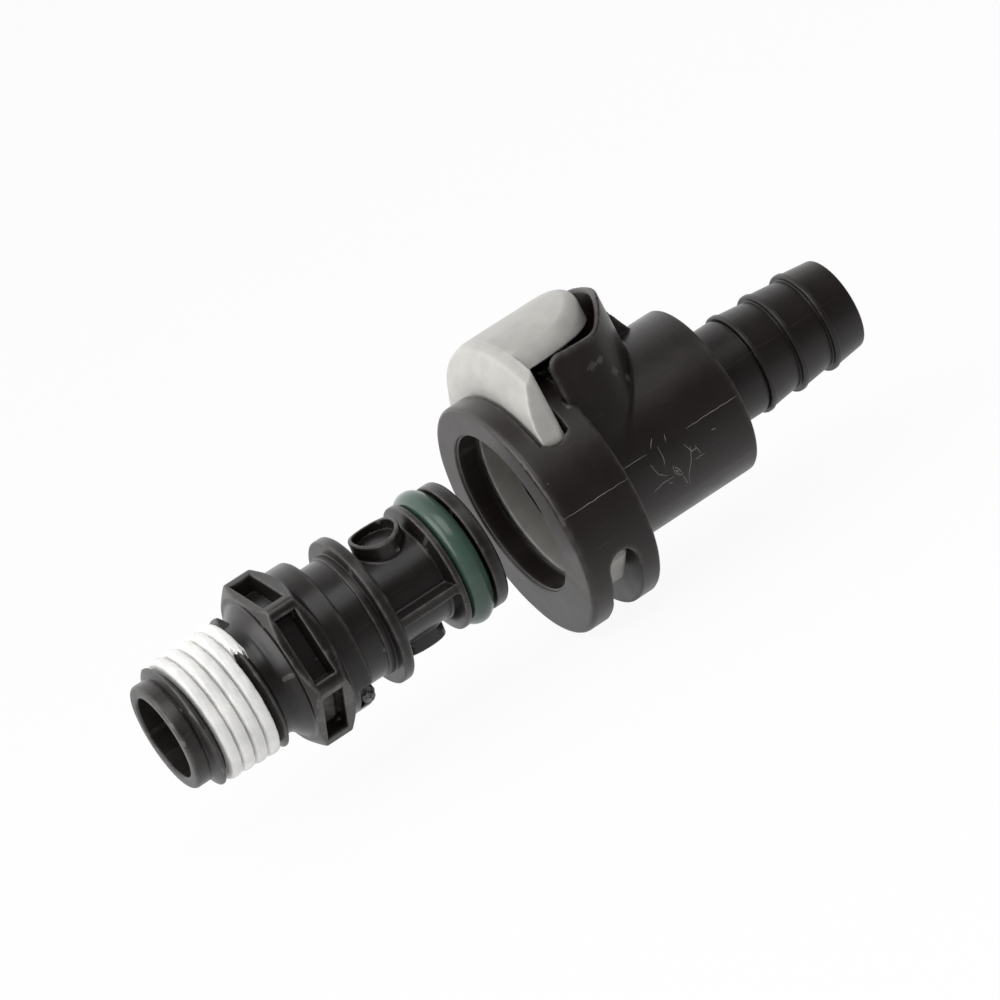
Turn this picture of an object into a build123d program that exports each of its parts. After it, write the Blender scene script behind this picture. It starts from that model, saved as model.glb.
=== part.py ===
from build123d import *
from math import cos, radians, sin, sqrt
import os

# Plastic quick disconnect coupling: a latching body welded to a hose barb, and a pipe-thread insert facing it.
# Millimetres, +Z up. Both halves lie on the X axis, uncoupled, with the latch held down in its open position.
# The origin is the centre of the barrel's end face, where a hose pushed over the barb stops.

# Coupling body, from the mouth back to the hose stop
flange_diameter = 25.4
flange_drop = 0.95
front_disc_thickness = 2.55
slot_width = 3.3
rear_disc_thickness = 2.25
flange_front_round = 0.7
flange_back_chamfer = 0.2
side_window_top_z = 6.0
side_window_bottom_z = -5.9
barrel_diameter = 18.16
barrel_length = 15.2
barrel_end_chamfer = 0.2
mouth_diameter = 17.2
mouth_step_diameter = 17.6
mouth_step_depth = 0.25
mouth_bore_depth = 7.2
seal_bore_diameter = 14.7
seal_lead_in_length = 0.8
seat_thickness = 1.2
seat_hole_diameter = 5.2

# Thumb guard on the barrel
guard_inset = 0.08
guard_wall = 0.75
guard_centre_behind_flange = 0.8
guard_front_over_flange = 0.7
guard_front_z = 13.0
guard_dip_z = 12.45
guard_back_z = 14.9
guard_front_round = 1.4
guard_dip_length = 6.5
guard_rise_length = 3.2
gusset_thickness = 1.0
gusset_z = 11.95
gusset_top_length = 0.4
gusset_foot_length = 2.1

# Thumb latch
latch_width = 19.9
latch_thickness = 2.7
latch_side_clearance = 0.2
latch_back_clearance = 0.25
latch_top_radius = 16.2
latch_bottom_z = -9.6
latch_corner_z = -6.9
latch_corner_width = 3.4
latch_nose_radius = 14.5
latch_nose_length = 1.3
button_side_gap = 0.5
button_rear_gap = 1.25
button_bottom_z = 12.8
button_wall = 1.3
button_edge_round = 0.9
spring_spot_diameter = 6.2
spring_spot_z = 8.7
spring_peg_diameter = 3.4
spring_peg_length = 1.3

# Hose barb for 3/8 in hose
spigot_diameter = 14.0
spigot_length = 2.9
stem_diameter = 10.3
stem_length = 4.65
barb_lip_diameter = 10.8
barb_lip_chamfer = 0.25
barb_groove_length = 0.25
barb_root_diameter = 9.8
barb_pitch = 4.0
barb_count = 3
barb_bore_diameter = 7.4
valve_chamber_diameter = 8.4
valve_chamber_length = 9.3

# Insert, from its thread mouth forward to the nose
uncoupled_gap = 5.0
insert_roll = 15.0
thread_bore_diameter = 8.7
pilot_diameter = 11.3
pilot_length = 1.4
thread_start_diameter = 13.24
thread_length = 7.75
thread_pitch = 25.4 / 18
thread_depth = 0.95
thread_crest_width = 0.3
thread_least_lead = 0.3
pipe_taper = 1 / 16
thread_neck_diameter = 12.0
thread_neck_length = 1.85
thread_cone_length = 1.3
hex_across_flats = 15.875
hex_length = 4.4
hex_back_chamfer_length = 0.8
hex_front_chamfer_length = 0.9
hex_pocket_length = 7.2
hex_pocket_width = 2.3
hex_pocket_start = 0.9
hex_pocket_depth = 1.7
hex_pocket_end_draft = 0.5
hex_pocket_side_draft = 0.12
skirt_diameter = 15.9
skirt_length = 2.25
gate_angle = 140.0
gate_recess_width = 3.4
gate_recess_length = 1.5
gate_recess_depth = 0.7
gate_stub_diameter = 1.3
gate_stub_height = 0.9
sealant_bare_ridges = 1
sealant_thickness = 0.08
sealant_valley_depth = 0.6

# Insert nose
nose_spigot_diameter = 12.4
nose_spigot_length = 2.55
neck_diameter = 12.8
latch_groove_length = 3.5
bead_diameter = 13.2
bead_length = 0.9
collar_diameter = 15.84
collar_length = 1.2
core_diameter = 10.2
core_length = 6.55
core_wall_draft = 0.38
cored_outer_diameter = 13.2
land_diameter = 13.6
land_length = 1.0
gland_length = 3.0
nose_ring_length = 1.45
nose_edge_round = 0.4
nose_bore_diameter = 7.4
nose_seat_hole_diameter = 5.2
guide_bore_diameter = 9.9
guide_bore_length = 6.2
rib_thickness = 1.0
boss_diameter = 5.16
boss_hole_diameter = 4.3
boss_hole_floor = 5.3
boss_centre_from_collar = 3.6

# O-ring, drawn just clear of the bore that squeezes it in use
oring_section = 2.62
oring_bore_clearance = 0.05

# Valve pieces, alike in both halves
seal_thickness = 0.9
seal_outer_diameter = 6.5
seal_fit = 0.05
tip_diameter = 3.0
head_diameter = 6.2
head_thickness = 1.0
valve_stem_diameter = 2.0
stem_overhang = 0.8
body_tip_reach = 2.5
insert_tip_reach = 0.8
guide_fit = 0.05
guide_rim = 0.65
guide_web = 1.2
guide_hub_diameter = 3.8
guide_spoke_width = 1.2
guide_spokes = 3
valve_spring_diameter = 5.7
valve_wire = 0.5
body_spring_turns = 3
insert_spring_turns = 4.5
latch_spring_diameter = 5.1
latch_wire = 0.5
latch_spring_turns = 3.5
spring_seat_gap = 0.03

# Stations of the body along X
hose_stop_x = 0.0
flange_back_x = hose_stop_x - barrel_length
slot_back_x = flange_back_x - rear_disc_thickness
slot_front_x = slot_back_x - slot_width
mouth_x = slot_front_x - front_disc_thickness
spigot_x = hose_stop_x - spigot_length
seat_front_x = spigot_x - seat_thickness
latch_back_x = slot_back_x - latch_back_clearance
latch_front_x = latch_back_x - latch_thickness
chamber_end_x = spigot_x + valve_chamber_length
barb_first_x = hose_stop_x + stem_length
barb_tip_x = barb_first_x + barb_count * barb_pitch

# Stations of the insert along X
nose_end_x = mouth_x - uncoupled_gap
gland_front_x = nose_end_x - nose_ring_length
gland_back_x = gland_front_x - gland_length
core_end_x = gland_back_x - land_length
collar_front_x = core_end_x - core_length
collar_back_x = collar_front_x - collar_length
skirt_end_x = collar_back_x - latch_groove_length
nose_spigot_x = skirt_end_x - nose_spigot_length
hex_front_x = skirt_end_x - skirt_length
hex_back_x = hex_front_x - hex_length
neck_start_x = hex_back_x - thread_cone_length - thread_neck_length
thread_start_x = neck_start_x - thread_length
insert_mouth_x = thread_start_x - pilot_length
guide_end_x = nose_spigot_x + guide_bore_length

# The thread's turns, drawn as ring ridges; its first crest starts where the lead-in ends
ridge_room = thread_length - thread_least_lead - thread_crest_width
ridge_count = int(ridge_room / thread_pitch) + 1
first_crest_x = neck_start_x - thread_crest_width - (ridge_count - 1) * thread_pitch

# Radii used by more than one piece
barrel_radius = barrel_diameter / 2
mouth_radius = mouth_diameter / 2
flange_radius = flange_diameter / 2
channel_half_width = latch_width / 2 + latch_side_clearance
guard_radius = barrel_radius - guard_inset
guard_centre_x = flange_back_x + guard_centre_behind_flange
button_half_width = guard_radius - guard_wall - button_side_gap
button_end_x = guard_centre_x + guard_radius - guard_wall - button_rear_gap
latch_spring_x = button_end_x - button_half_width + spring_spot_diameter / 2
oring_crest_radius = seal_bore_diameter / 2 - oring_bore_clearance
oring_centre_radius = oring_crest_radius - oring_section / 2
hollow_top_z = latch_top_radius - button_wall
spring_top_z = sqrt((latch_top_radius - button_wall) ** 2 - (latch_spring_diameter / 2) ** 2)
gland_floor_radius = oring_crest_radius - oring_section
reach = flange_diameter
cut_margin = 1.0

# The insert is turned about the axis, so its mould direction leans towards the viewer
insert_up = Vector(0, -sin(radians(insert_roll)), cos(radians(insert_roll)))
insert_side = Vector(0, cos(radians(insert_roll)), sin(radians(insert_roll)))


def half_section(*points):
    """Closed half section of a turned shape, from (x, radius) points on the XZ plane."""
    with BuildSketch(Plane.XZ) as section:
        with BuildLine():
            Polyline(*points, close=True)
        make_face()
    return section.sketch


def tube_section(start_x, end_x, inner_radius, outer_radius):
    """Half section of a straight tube or, with no inner radius, of a rod."""
    return half_section(
        (start_x, inner_radius), (end_x, inner_radius), (end_x, outer_radius), (start_x, outer_radius)
    )


def cross_plane(x):
    """Plane across the axis at x, with its own Y up."""
    return Plane(origin=(x, 0, 0), x_dir=(0, 1, 0), z_dir=(1, 0, 0))


def insert_cross_plane(x):
    """Plane across the axis at x, turned with the insert."""
    return Plane(origin=(x, 0, 0), x_dir=insert_side, z_dir=(1, 0, 0))


def thread_crest_radius(x):
    """Crest radius of the tapered pipe thread at x."""
    return (thread_start_diameter + (x - thread_start_x) * pipe_taper) / 2


def crest_points(ridge, lift):
    """Both ends of a thread ridge's flat crest, lifted off the thread by lift."""
    start_x = first_crest_x + ridge * thread_pitch
    end_x = start_x + thread_crest_width
    return [(start_x, thread_crest_radius(start_x) + lift), (end_x, thread_crest_radius(end_x) + lift)]


def root_point(ridge, depth):
    """Bottom of the groove behind a thread ridge, at depth under the crests."""
    x = first_crest_x + ridge * thread_pitch + (thread_crest_width + thread_pitch) / 2
    return (x, thread_crest_radius(x) - depth)


def poppet_section(tip_x, head_front_x, direction, stem_end_x):
    """Half section of a poppet: tip, head and stem, with its head running back along direction."""
    head_back_x = head_front_x + direction * head_thickness
    return half_section(
        (tip_x, 0),
        (tip_x, tip_diameter / 2),
        (head_front_x, tip_diameter / 2),
        (head_front_x, head_diameter / 2),
        (head_back_x, head_diameter / 2),
        (head_back_x, valve_stem_diameter / 2),
        (stem_end_x, valve_stem_diameter / 2),
        (stem_end_x, 0),
    )


def seal_section(start_x, end_x):
    """Half section of the flat seal round a poppet's tip."""
    return tube_section(start_x, end_x, tip_diameter / 2 + seal_fit, seal_outer_diameter / 2)


def guide_section(start_x, web_start_x, end_x, outer_radius):
    """Half section of a valve guide's sleeve and hub, which the spokes join."""
    hub_radius = guide_hub_diameter / 2
    hole_radius = valve_stem_diameter / 2 + guide_fit
    with BuildSketch() as section:
        add(tube_section(start_x, end_x, outer_radius - guide_rim, outer_radius))
        add(tube_section(web_start_x, end_x, hole_radius, hub_radius))
    return section.sketch


def add_spokes(web_start_x, outer_radius):
    """Spokes between a valve guide's hub and its sleeve, joined to the part being built."""
    hub_radius = guide_hub_diameter / 2
    start = hub_radius - guide_rim / 2
    end = outer_radius - guide_rim / 2
    for spoke in range(guide_spokes):
        angle = radians(360 * spoke / guide_spokes + insert_roll)
        outward = Vector(0, sin(angle), cos(angle))
        with BuildSketch(Plane(origin=(web_start_x, 0, 0), x_dir=outward, z_dir=(1, 0, 0))) as spoke_face:
            with Locations((start, 0)):
                Rectangle(end - start, guide_spoke_width, align=(Align.MIN, Align.CENTER))
        extrude(spoke_face.sketch, amount=guide_web)


def spring_path(start, axis, diameter, wire, turns, length):
    """Helix through the wire's centre, between two flat seats."""
    rise = length - wire - 2 * spring_seat_gap
    origin = Vector(*start) + Vector(*axis) * (wire / 2 + spring_seat_gap)
    with BuildLine() as path:
        Helix(pitch=rise / turns, height=rise, radius=(diameter - wire) / 2, center=origin, direction=axis)
    return path.line


def wire_section(path, wire):
    """Section of the spring wire across the start of its path: a square with its corners on the wire's round."""
    with BuildSketch(Plane(origin=path @ 0, z_dir=path % 0)) as section:
        RegularPolygon(wire / 2, 4)
    return section.sketch


# Coupling body: flange, barrel and thumb guard, moulded in one
with BuildPart() as coupling_body:
    with BuildSketch(cross_plane(mouth_x)):
        with Locations((0, -flange_drop)):
            Circle(flange_radius)
    extrude(amount=flange_back_x - mouth_x)
    fillet(edges().filter_by(GeomType.CIRCLE).sort_by(Axis.X)[0], flange_front_round)
    chamfer(edges().filter_by(GeomType.CIRCLE).sort_by(Axis.X)[-1], flange_back_chamfer)
    revolve(tube_section(mouth_x + mouth_bore_depth, hose_stop_x, 0, barrel_radius), axis=Axis.X)
    chamfer(edges().filter_by(GeomType.CIRCLE).sort_by(Axis.X)[-1], barrel_end_chamfer)

    # Guard wall: a U in plan, cut to the sweep of its rim in side view
    with BuildSketch():
        with Locations((guard_centre_x, 0)):
            Circle(guard_radius)
            Circle(guard_radius - guard_wall, mode=Mode.SUBTRACT)
        with Locations((guard_centre_x, 0)):
            Rectangle(2 * reach, 2 * reach, align=(Align.MAX, Align.CENTER), mode=Mode.SUBTRACT)
        for side in (1, -1):
            with Locations((guard_centre_x, side * guard_radius)):
                Rectangle(
                    guard_centre_x - flange_back_x + guard_front_over_flange,
                    guard_wall,
                    align=(Align.MAX, Align.MAX if side > 0 else Align.MIN),
                )
    guard_front_x = flange_back_x - guard_front_over_flange
    guard_back_x = guard_centre_x + guard_radius
    guard_top_x = guard_front_x + guard_front_round
    wall_plan = extrude(amount=guard_back_z + cut_margin, mode=Mode.PRIVATE)
    with BuildSketch(Plane.XZ):
        with BuildLine():
            rise = Line((guard_front_x, 0), (guard_front_x, guard_front_z - guard_front_round))
            RadiusArc(rise @ 1, (guard_top_x, guard_front_z), guard_front_round)
            Polyline(
                (guard_top_x, guard_front_z),
                (guard_front_x + guard_dip_length, guard_dip_z),
                (guard_front_x + guard_dip_length + guard_rise_length, guard_back_z),
                (guard_back_x, guard_back_z),
                (guard_back_x, 0),
                (guard_front_x, 0),
            )
        make_face()
    wall_side = extrude(amount=reach, both=True, mode=Mode.PRIVATE)
    add(wall_plan & wall_side)

    # Gusset behind the guard
    with BuildSketch(Plane.XZ):
        with BuildLine():
            Polyline(
                (guard_back_x - guard_wall / 2, barrel_radius - guard_wall / 2),
                (guard_back_x - guard_wall / 2, gusset_z),
                (guard_back_x + gusset_top_length, gusset_z),
                (guard_back_x + gusset_foot_length, barrel_radius - guard_wall / 2),
                close=True,
            )
        make_face()
    extrude(amount=gusset_thickness / 2, both=True)

    # Flow way: stepped mouth, lead-in, seal bore, valve seat and the socket of the barb's spigot
    mouth_bore_x = mouth_x + mouth_bore_depth
    seal_bore_x = mouth_bore_x + seal_lead_in_length
    seal_bore_radius = seal_bore_diameter / 2
    revolve(
        half_section(
            (mouth_x, 0),
            (mouth_x, mouth_step_diameter / 2),
            (mouth_x + mouth_step_depth, mouth_step_diameter / 2),
            (mouth_x + mouth_step_depth, mouth_radius),
            (mouth_bore_x, mouth_radius),
            (seal_bore_x, seal_bore_radius),
            (seat_front_x, seal_bore_radius),
            (seat_front_x, seat_hole_diameter / 2),
            (spigot_x, seat_hole_diameter / 2),
            (spigot_x, spigot_diameter / 2),
            (hose_stop_x, spigot_diameter / 2),
            (hose_stop_x, 0),
        ),
        axis=Axis.X,
        mode=Mode.SUBTRACT,
    )

    # Channel of the latch, open above and below
    with BuildSketch(cross_plane(slot_front_x)):
        Rectangle(2 * channel_half_width, 2 * reach)
    extrude(amount=slot_width, mode=Mode.SUBTRACT)

    # Side windows across the flange, each with a round end
    window_x = (slot_front_x + slot_back_x) / 2
    window_round = slot_width / 2
    with BuildSketch(Plane.XZ):
        with Locations((window_x, side_window_top_z + window_round), (window_x, side_window_bottom_z - window_round)):
            Circle(window_round)
        with Locations((window_x, side_window_top_z + window_round)):
            Rectangle(slot_width, reach, align=(Align.CENTER, Align.MIN))
        with Locations((window_x, side_window_bottom_z - window_round)):
            Rectangle(slot_width, reach, align=(Align.CENTER, Align.MAX))
    extrude(amount=reach, both=True, mode=Mode.SUBTRACT)

    # Flat spot under the latch spring
    with BuildSketch(Plane.XY.offset(spring_spot_z)):
        with Locations((latch_spring_x, 0)):
            Circle(spring_spot_diameter / 2)
    extrude(amount=barrel_radius - spring_spot_z, mode=Mode.SUBTRACT)

# Hose barb: a spigot in the barrel, a stem and three lips that hold the hose
with BuildPart() as hose_barb:
    with BuildSketch(Plane.XZ):
        with BuildLine():
            Polyline(
                (barb_tip_x, barb_bore_diameter / 2),
                (chamber_end_x, barb_bore_diameter / 2),
                (chamber_end_x, valve_chamber_diameter / 2),
                (spigot_x, valve_chamber_diameter / 2),
                (spigot_x, spigot_diameter / 2),
                (hose_stop_x, spigot_diameter / 2),
                (hose_stop_x, stem_diameter / 2),
                (barb_first_x - barb_groove_length, stem_diameter / 2),
                (barb_first_x - barb_groove_length, barb_root_diameter / 2),
                (barb_first_x, barb_root_diameter / 2),
            )
            root_radius = barb_root_diameter / 2
            lip_radius = barb_lip_diameter / 2
            for barb in range(barb_count):
                lip_x = barb_first_x + barb * barb_pitch
                Polyline(
                    (lip_x, root_radius),
                    (lip_x, lip_radius - barb_lip_chamfer),
                    (lip_x + barb_lip_chamfer, lip_radius),
                    (lip_x + barb_pitch, root_radius),
                )
            Line((barb_tip_x, root_radius), (barb_tip_x, barb_bore_diameter / 2))
        make_face()
    revolve(axis=Axis.X)

# Thumb latch: a sliding plate with a round hole and a thumb button behind it
with BuildPart() as thumb_latch:
    with BuildSketch(cross_plane(latch_front_x)):
        Circle(latch_top_radius)
        with BuildLine():
            Polyline(
                (-latch_width / 2, latch_top_radius),
                (-latch_width / 2, latch_corner_z),
                (-latch_width / 2 + latch_corner_width, latch_bottom_z),
                (latch_width / 2 - latch_corner_width, latch_bottom_z),
                (latch_width / 2, latch_corner_z),
                (latch_width / 2, latch_top_radius),
                close=True,
            )
        make_face(mode=Mode.INTERSECT)
        Circle(mouth_radius, mode=Mode.SUBTRACT)
    extrude(amount=latch_thickness)

    # Sloped front of the plate's top
    revolve(
        half_section(
            (latch_front_x, latch_nose_radius),
            (latch_front_x + latch_nose_length, latch_top_radius),
            (latch_front_x + latch_nose_length, latch_top_radius + cut_margin),
            (latch_front_x, latch_top_radius + cut_margin),
        ),
        axis=Axis.X,
        mode=Mode.SUBTRACT,
    )

    # Button: a hollow cap with a round end, under the same curve as the plate's top
    button_centre_x = button_end_x - button_half_width
    with BuildSketch(Plane.XY.offset(button_bottom_z)):
        with Locations((button_centre_x, 0)):
            Circle(button_half_width)
            Rectangle(
                button_centre_x - latch_back_x, 2 * button_half_width, align=(Align.MAX, Align.CENTER)
            )
    button_block = extrude(amount=latch_top_radius - button_bottom_z, mode=Mode.PRIVATE)
    top_drum = revolve(
        tube_section(latch_back_x - cut_margin, button_end_x, 0, latch_top_radius), axis=Axis.X, mode=Mode.PRIVATE
    )
    add(button_block & top_drum)
    button_top_edges = edges().filter_by(lambda edge: edge.center().Z > button_bottom_z + button_edge_round)
    button_rim = button_top_edges.filter_by(lambda edge: edge.center().X > latch_back_x + button_edge_round)
    fillet(button_rim, button_edge_round)

    # Hollow under the button, with the spring's peg
    with BuildSketch(Plane.XY.offset(button_bottom_z)):
        with Locations((button_centre_x, 0)):
            Circle(button_half_width - button_wall)
            Rectangle(
                button_centre_x - latch_back_x - button_wall,
                2 * (button_half_width - button_wall),
                align=(Align.MAX, Align.CENTER),
            )
    hollow_block = extrude(amount=latch_top_radius - button_bottom_z, mode=Mode.PRIVATE)
    hollow_drum = revolve(
        tube_section(latch_back_x - cut_margin, button_end_x, 0, latch_top_radius - button_wall),
        axis=Axis.X,
        mode=Mode.PRIVATE,
    )
    add(hollow_block & hollow_drum, mode=Mode.SUBTRACT)
    with BuildSketch(Plane.XY.offset(hollow_top_z - spring_peg_length)):
        with Locations((latch_spring_x, 0)):
            Circle(spring_peg_diameter / 2)
    extrude(amount=spring_peg_length + button_wall / 2)

# Spring that lifts the latch, between the barrel and the button
with BuildPart() as latch_spring:
    latch_coil = spring_path(
        (latch_spring_x, 0, spring_spot_z), (0, 0, 1), latch_spring_diameter, latch_wire, latch_spring_turns,
        spring_top_z - spring_spot_z,
    )
    sweep(wire_section(latch_coil, latch_wire), path=latch_coil, is_frenet=True)

# Valve guide in the barb's bore
with BuildPart() as body_spring_guide:
    body_guide_radius = valve_chamber_diameter / 2 - guide_fit
    body_guide_x = chamber_end_x - guide_web
    revolve(guide_section(body_guide_x, body_guide_x, chamber_end_x, body_guide_radius), axis=Axis.X)
    add_spokes(body_guide_x, body_guide_radius)

# Body poppet: tip towards the insert, head behind the seat, stem in the guide
with BuildPart() as body_poppet:
    revolve(
        poppet_section(
            seat_front_x - body_tip_reach, spigot_x + seal_thickness, 1, body_guide_x + guide_web + stem_overhang
        ),
        axis=Axis.X,
    )

with BuildPart() as body_poppet_seal:
    revolve(seal_section(spigot_x, spigot_x + seal_thickness), axis=Axis.X)

with BuildPart() as body_valve_spring:
    body_head_back_x = spigot_x + seal_thickness + head_thickness
    body_coil = spring_path(
        (body_head_back_x, 0, 0), (1, 0, 0), valve_spring_diameter, valve_wire, body_spring_turns,
        body_guide_x - body_head_back_x,
    )
    sweep(wire_section(body_coil, valve_wire), path=body_coil, is_frenet=True)

# Thread adapter: pipe thread as ring ridges, neck, cored hexagon and skirt
with BuildPart() as thread_adapter:
    hex_radius = hex_across_flats / 2
    corner_radius = hex_across_flats / sqrt(3)
    with BuildSketch(insert_cross_plane(hex_back_x)):
        RegularPolygon(corner_radius, 6)
    extrude(amount=hex_length)
    revolve(
        half_section(
            (hex_back_x, 0),
            (hex_back_x, hex_radius),
            (hex_back_x + hex_back_chamfer_length, corner_radius),
            (hex_front_x - hex_front_chamfer_length, corner_radius),
            (hex_front_x, hex_radius),
            (hex_front_x, 0),
        ),
        axis=Axis.X,
        mode=Mode.INTERSECT,
    )

    # One cored pocket in each flat, narrower at its floor
    for flat in range(6):
        flat_angle = radians(60 * flat)
        outward = insert_up * cos(flat_angle) + insert_side * sin(flat_angle)
        pocket_centre = Vector(hex_back_x + hex_pocket_start + hex_pocket_width / 2, 0, 0)
        for depth, side_draft, end_draft in (
            (0, 0, 0),
            (hex_pocket_depth, hex_pocket_side_draft, hex_pocket_end_draft),
        ):
            pocket_plane = Plane(
                origin=pocket_centre + outward * (hex_radius - depth), x_dir=(1, 0, 0), z_dir=outward
            )
            with BuildSketch(pocket_plane):
                Rectangle(hex_pocket_width - 2 * side_draft, hex_pocket_length - 2 * end_draft)
        loft(mode=Mode.SUBTRACT)

    # Thread, neck, cone and skirt on one axis
    thread_points = crest_points(0, 0)
    for ridge in range(1, ridge_count):
        thread_points += [root_point(ridge - 1, thread_depth), *crest_points(ridge, 0)]
    revolve(
        half_section(
            (insert_mouth_x, 0),
            (insert_mouth_x, pilot_diameter / 2),
            (thread_start_x, pilot_diameter / 2),
            *thread_points,
            (neck_start_x, thread_neck_diameter / 2),
            (hex_back_x - thread_cone_length, thread_neck_diameter / 2),
            (hex_back_x, hex_radius),
            (hex_back_x + hex_pocket_start, thread_neck_diameter / 2),
            (hex_front_x, thread_neck_diameter / 2),
            (hex_front_x, skirt_diameter / 2),
            (skirt_end_x, skirt_diameter / 2),
            (skirt_end_x, 0),
        ),
        axis=Axis.X,
    )

    # Gate recess in the skirt's rim, with the torn stub of the sprue
    gate_out = Vector(0, -sin(radians(gate_angle)), cos(radians(gate_angle)))
    gate_plane = Plane(
        origin=Vector(skirt_end_x - gate_recess_length / 2, 0, 0) + gate_out * (skirt_diameter / 2 - gate_recess_depth),
        x_dir=(1, 0, 0),
        z_dir=gate_out,
    )
    with BuildSketch(gate_plane):
        Rectangle(gate_recess_length, gate_recess_width)
    extrude(amount=reach, mode=Mode.SUBTRACT)
    with BuildSketch(gate_plane.offset(-gate_recess_depth)):
        Circle(gate_stub_diameter / 2)
    extrude(amount=gate_recess_depth + gate_stub_height)

    # Flow way, and the socket of the nose's spigot
    revolve(
        half_section(
            (insert_mouth_x, 0),
            (insert_mouth_x, thread_bore_diameter / 2),
            (nose_spigot_x, thread_bore_diameter / 2),
            (nose_spigot_x, nose_spigot_diameter / 2),
            (skirt_end_x, nose_spigot_diameter / 2),
            (skirt_end_x, 0),
        ),
        axis=Axis.X,
        mode=Mode.SUBTRACT,
    )

# Dried sealant over the middle turns of the thread, lying on their crests and part of the way down their grooves
with BuildPart() as thread_sealant:
    inner_points = [root_point(sealant_bare_ridges - 1, thread_depth)]
    outer_points = [root_point(sealant_bare_ridges - 1, sealant_valley_depth)]
    for ridge in range(sealant_bare_ridges, ridge_count - sealant_bare_ridges):
        inner_points += [*crest_points(ridge, 0), root_point(ridge, thread_depth)]
        outer_points += [*crest_points(ridge, sealant_thickness), root_point(ridge, sealant_valley_depth)]
    revolve(half_section(*inner_points, *reversed(outer_points)), axis=Axis.X)

# Insert nose: latch groove, collar, cored waist, O-ring gland and nose ring
with BuildPart() as insert_nose:
    boss_x = collar_front_x + boss_centre_from_collar
    with BuildSketch(insert_cross_plane(collar_front_x)):
        Rectangle(cored_outer_diameter, rib_thickness)
    extrude(amount=core_length)
    for side in (1, -1):
        with BuildSketch(Plane(origin=(boss_x, 0, 0), x_dir=(1, 0, 0), z_dir=insert_up * side)):
            Circle(boss_diameter / 2)
        extrude(amount=cored_outer_diameter / 2)
    revolve(
        tube_section(collar_front_x, core_end_x, 0, cored_outer_diameter / 2), axis=Axis.X, mode=Mode.INTERSECT
    )
    nose_turning = half_section(
        (nose_spigot_x, 0),
        (nose_spigot_x, nose_spigot_diameter / 2),
        (skirt_end_x, nose_spigot_diameter / 2),
        (skirt_end_x, neck_diameter / 2),
        (collar_back_x - bead_length, neck_diameter / 2),
        (collar_back_x - bead_length, bead_diameter / 2),
        (collar_back_x, bead_diameter / 2),
        (collar_back_x, collar_diameter / 2),
        (collar_front_x, collar_diameter / 2),
        (collar_front_x, core_diameter / 2),
        (core_end_x, core_diameter / 2),
        (core_end_x + core_wall_draft, land_diameter / 2),
        (gland_back_x, land_diameter / 2),
        (gland_back_x, gland_floor_radius),
        (gland_front_x, gland_floor_radius),
        (gland_front_x, land_diameter / 2),
        (nose_end_x, land_diameter / 2),
        (nose_end_x, 0),
    )
    revolve(nose_turning, axis=Axis.X)
    fillet(edges().filter_by(GeomType.CIRCLE).sort_by(Axis.X)[-1], nose_edge_round)

    # Bores from both ends, and the blind core hole of each boss
    revolve(
        half_section(
            (nose_spigot_x, 0),
            (nose_spigot_x, guide_bore_diameter / 2),
            (guide_end_x, guide_bore_diameter / 2),
            (guide_end_x, nose_bore_diameter / 2),
            (gland_front_x, nose_bore_diameter / 2),
            (gland_front_x, nose_seat_hole_diameter / 2),
            (nose_end_x, nose_seat_hole_diameter / 2),
            (nose_end_x, 0),
        ),
        axis=Axis.X,
        mode=Mode.SUBTRACT,
    )
    for side in (1, -1):
        with BuildSketch(
            Plane(origin=Vector(boss_x, 0, 0) + insert_up * side * boss_hole_floor, x_dir=(1, 0, 0),
                  z_dir=insert_up * side)
        ):
            Circle(boss_hole_diameter / 2)
        extrude(amount=reach, mode=Mode.SUBTRACT)

with BuildPart() as insert_oring:
    with BuildSketch(Plane.XZ):
        with Locations(((gland_back_x + gland_front_x) / 2, oring_centre_radius)):
            Circle(oring_section / 2)
    revolve(axis=Axis.X)

# Valve guide in the nose: a sleeve standing on the adapter's step, with a spoked hub at its front
with BuildPart() as insert_spring_guide:
    insert_guide_radius = guide_bore_diameter / 2 - guide_fit
    insert_guide_x = guide_end_x - guide_web
    revolve(guide_section(nose_spigot_x, insert_guide_x, guide_end_x, insert_guide_radius), axis=Axis.X)
    add_spokes(insert_guide_x, insert_guide_radius)

with BuildPart() as insert_poppet:
    insert_head_x = gland_front_x - seal_thickness
    revolve(
        poppet_section(nose_end_x + insert_tip_reach, insert_head_x, -1, insert_guide_x - stem_overhang),
        axis=Axis.X,
    )

with BuildPart() as insert_poppet_seal:
    revolve(seal_section(gland_front_x - seal_thickness, gland_front_x), axis=Axis.X)

with BuildPart() as insert_valve_spring:
    insert_head_back_x = insert_head_x - head_thickness
    insert_coil = spring_path(
        (guide_end_x, 0, 0), (1, 0, 0), valve_spring_diameter, valve_wire, insert_spring_turns,
        insert_head_back_x - guide_end_x,
    )
    sweep(wire_section(insert_coil, valve_wire), path=insert_coil, is_frenet=True)

named_parts = {
    "coupling_body": coupling_body,
    "hose_barb": hose_barb,
    "thumb_latch": thumb_latch,
    "latch_spring": latch_spring,
    "body_spring_guide": body_spring_guide,
    "body_poppet": body_poppet,
    "body_poppet_seal": body_poppet_seal,
    "body_valve_spring": body_valve_spring,
    "thread_adapter": thread_adapter,
    "thread_sealant": thread_sealant,
    "insert_nose": insert_nose,
    "insert_oring": insert_oring,
    "insert_spring_guide": insert_spring_guide,
    "insert_poppet": insert_poppet,
    "insert_poppet_seal": insert_poppet_seal,
    "insert_valve_spring": insert_valve_spring,
}

os.makedirs("parts", exist_ok=True)
for name, builder in named_parts.items():
    builder.part.label = name
    export_step(builder.part, f"parts/{name}.step")
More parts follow.
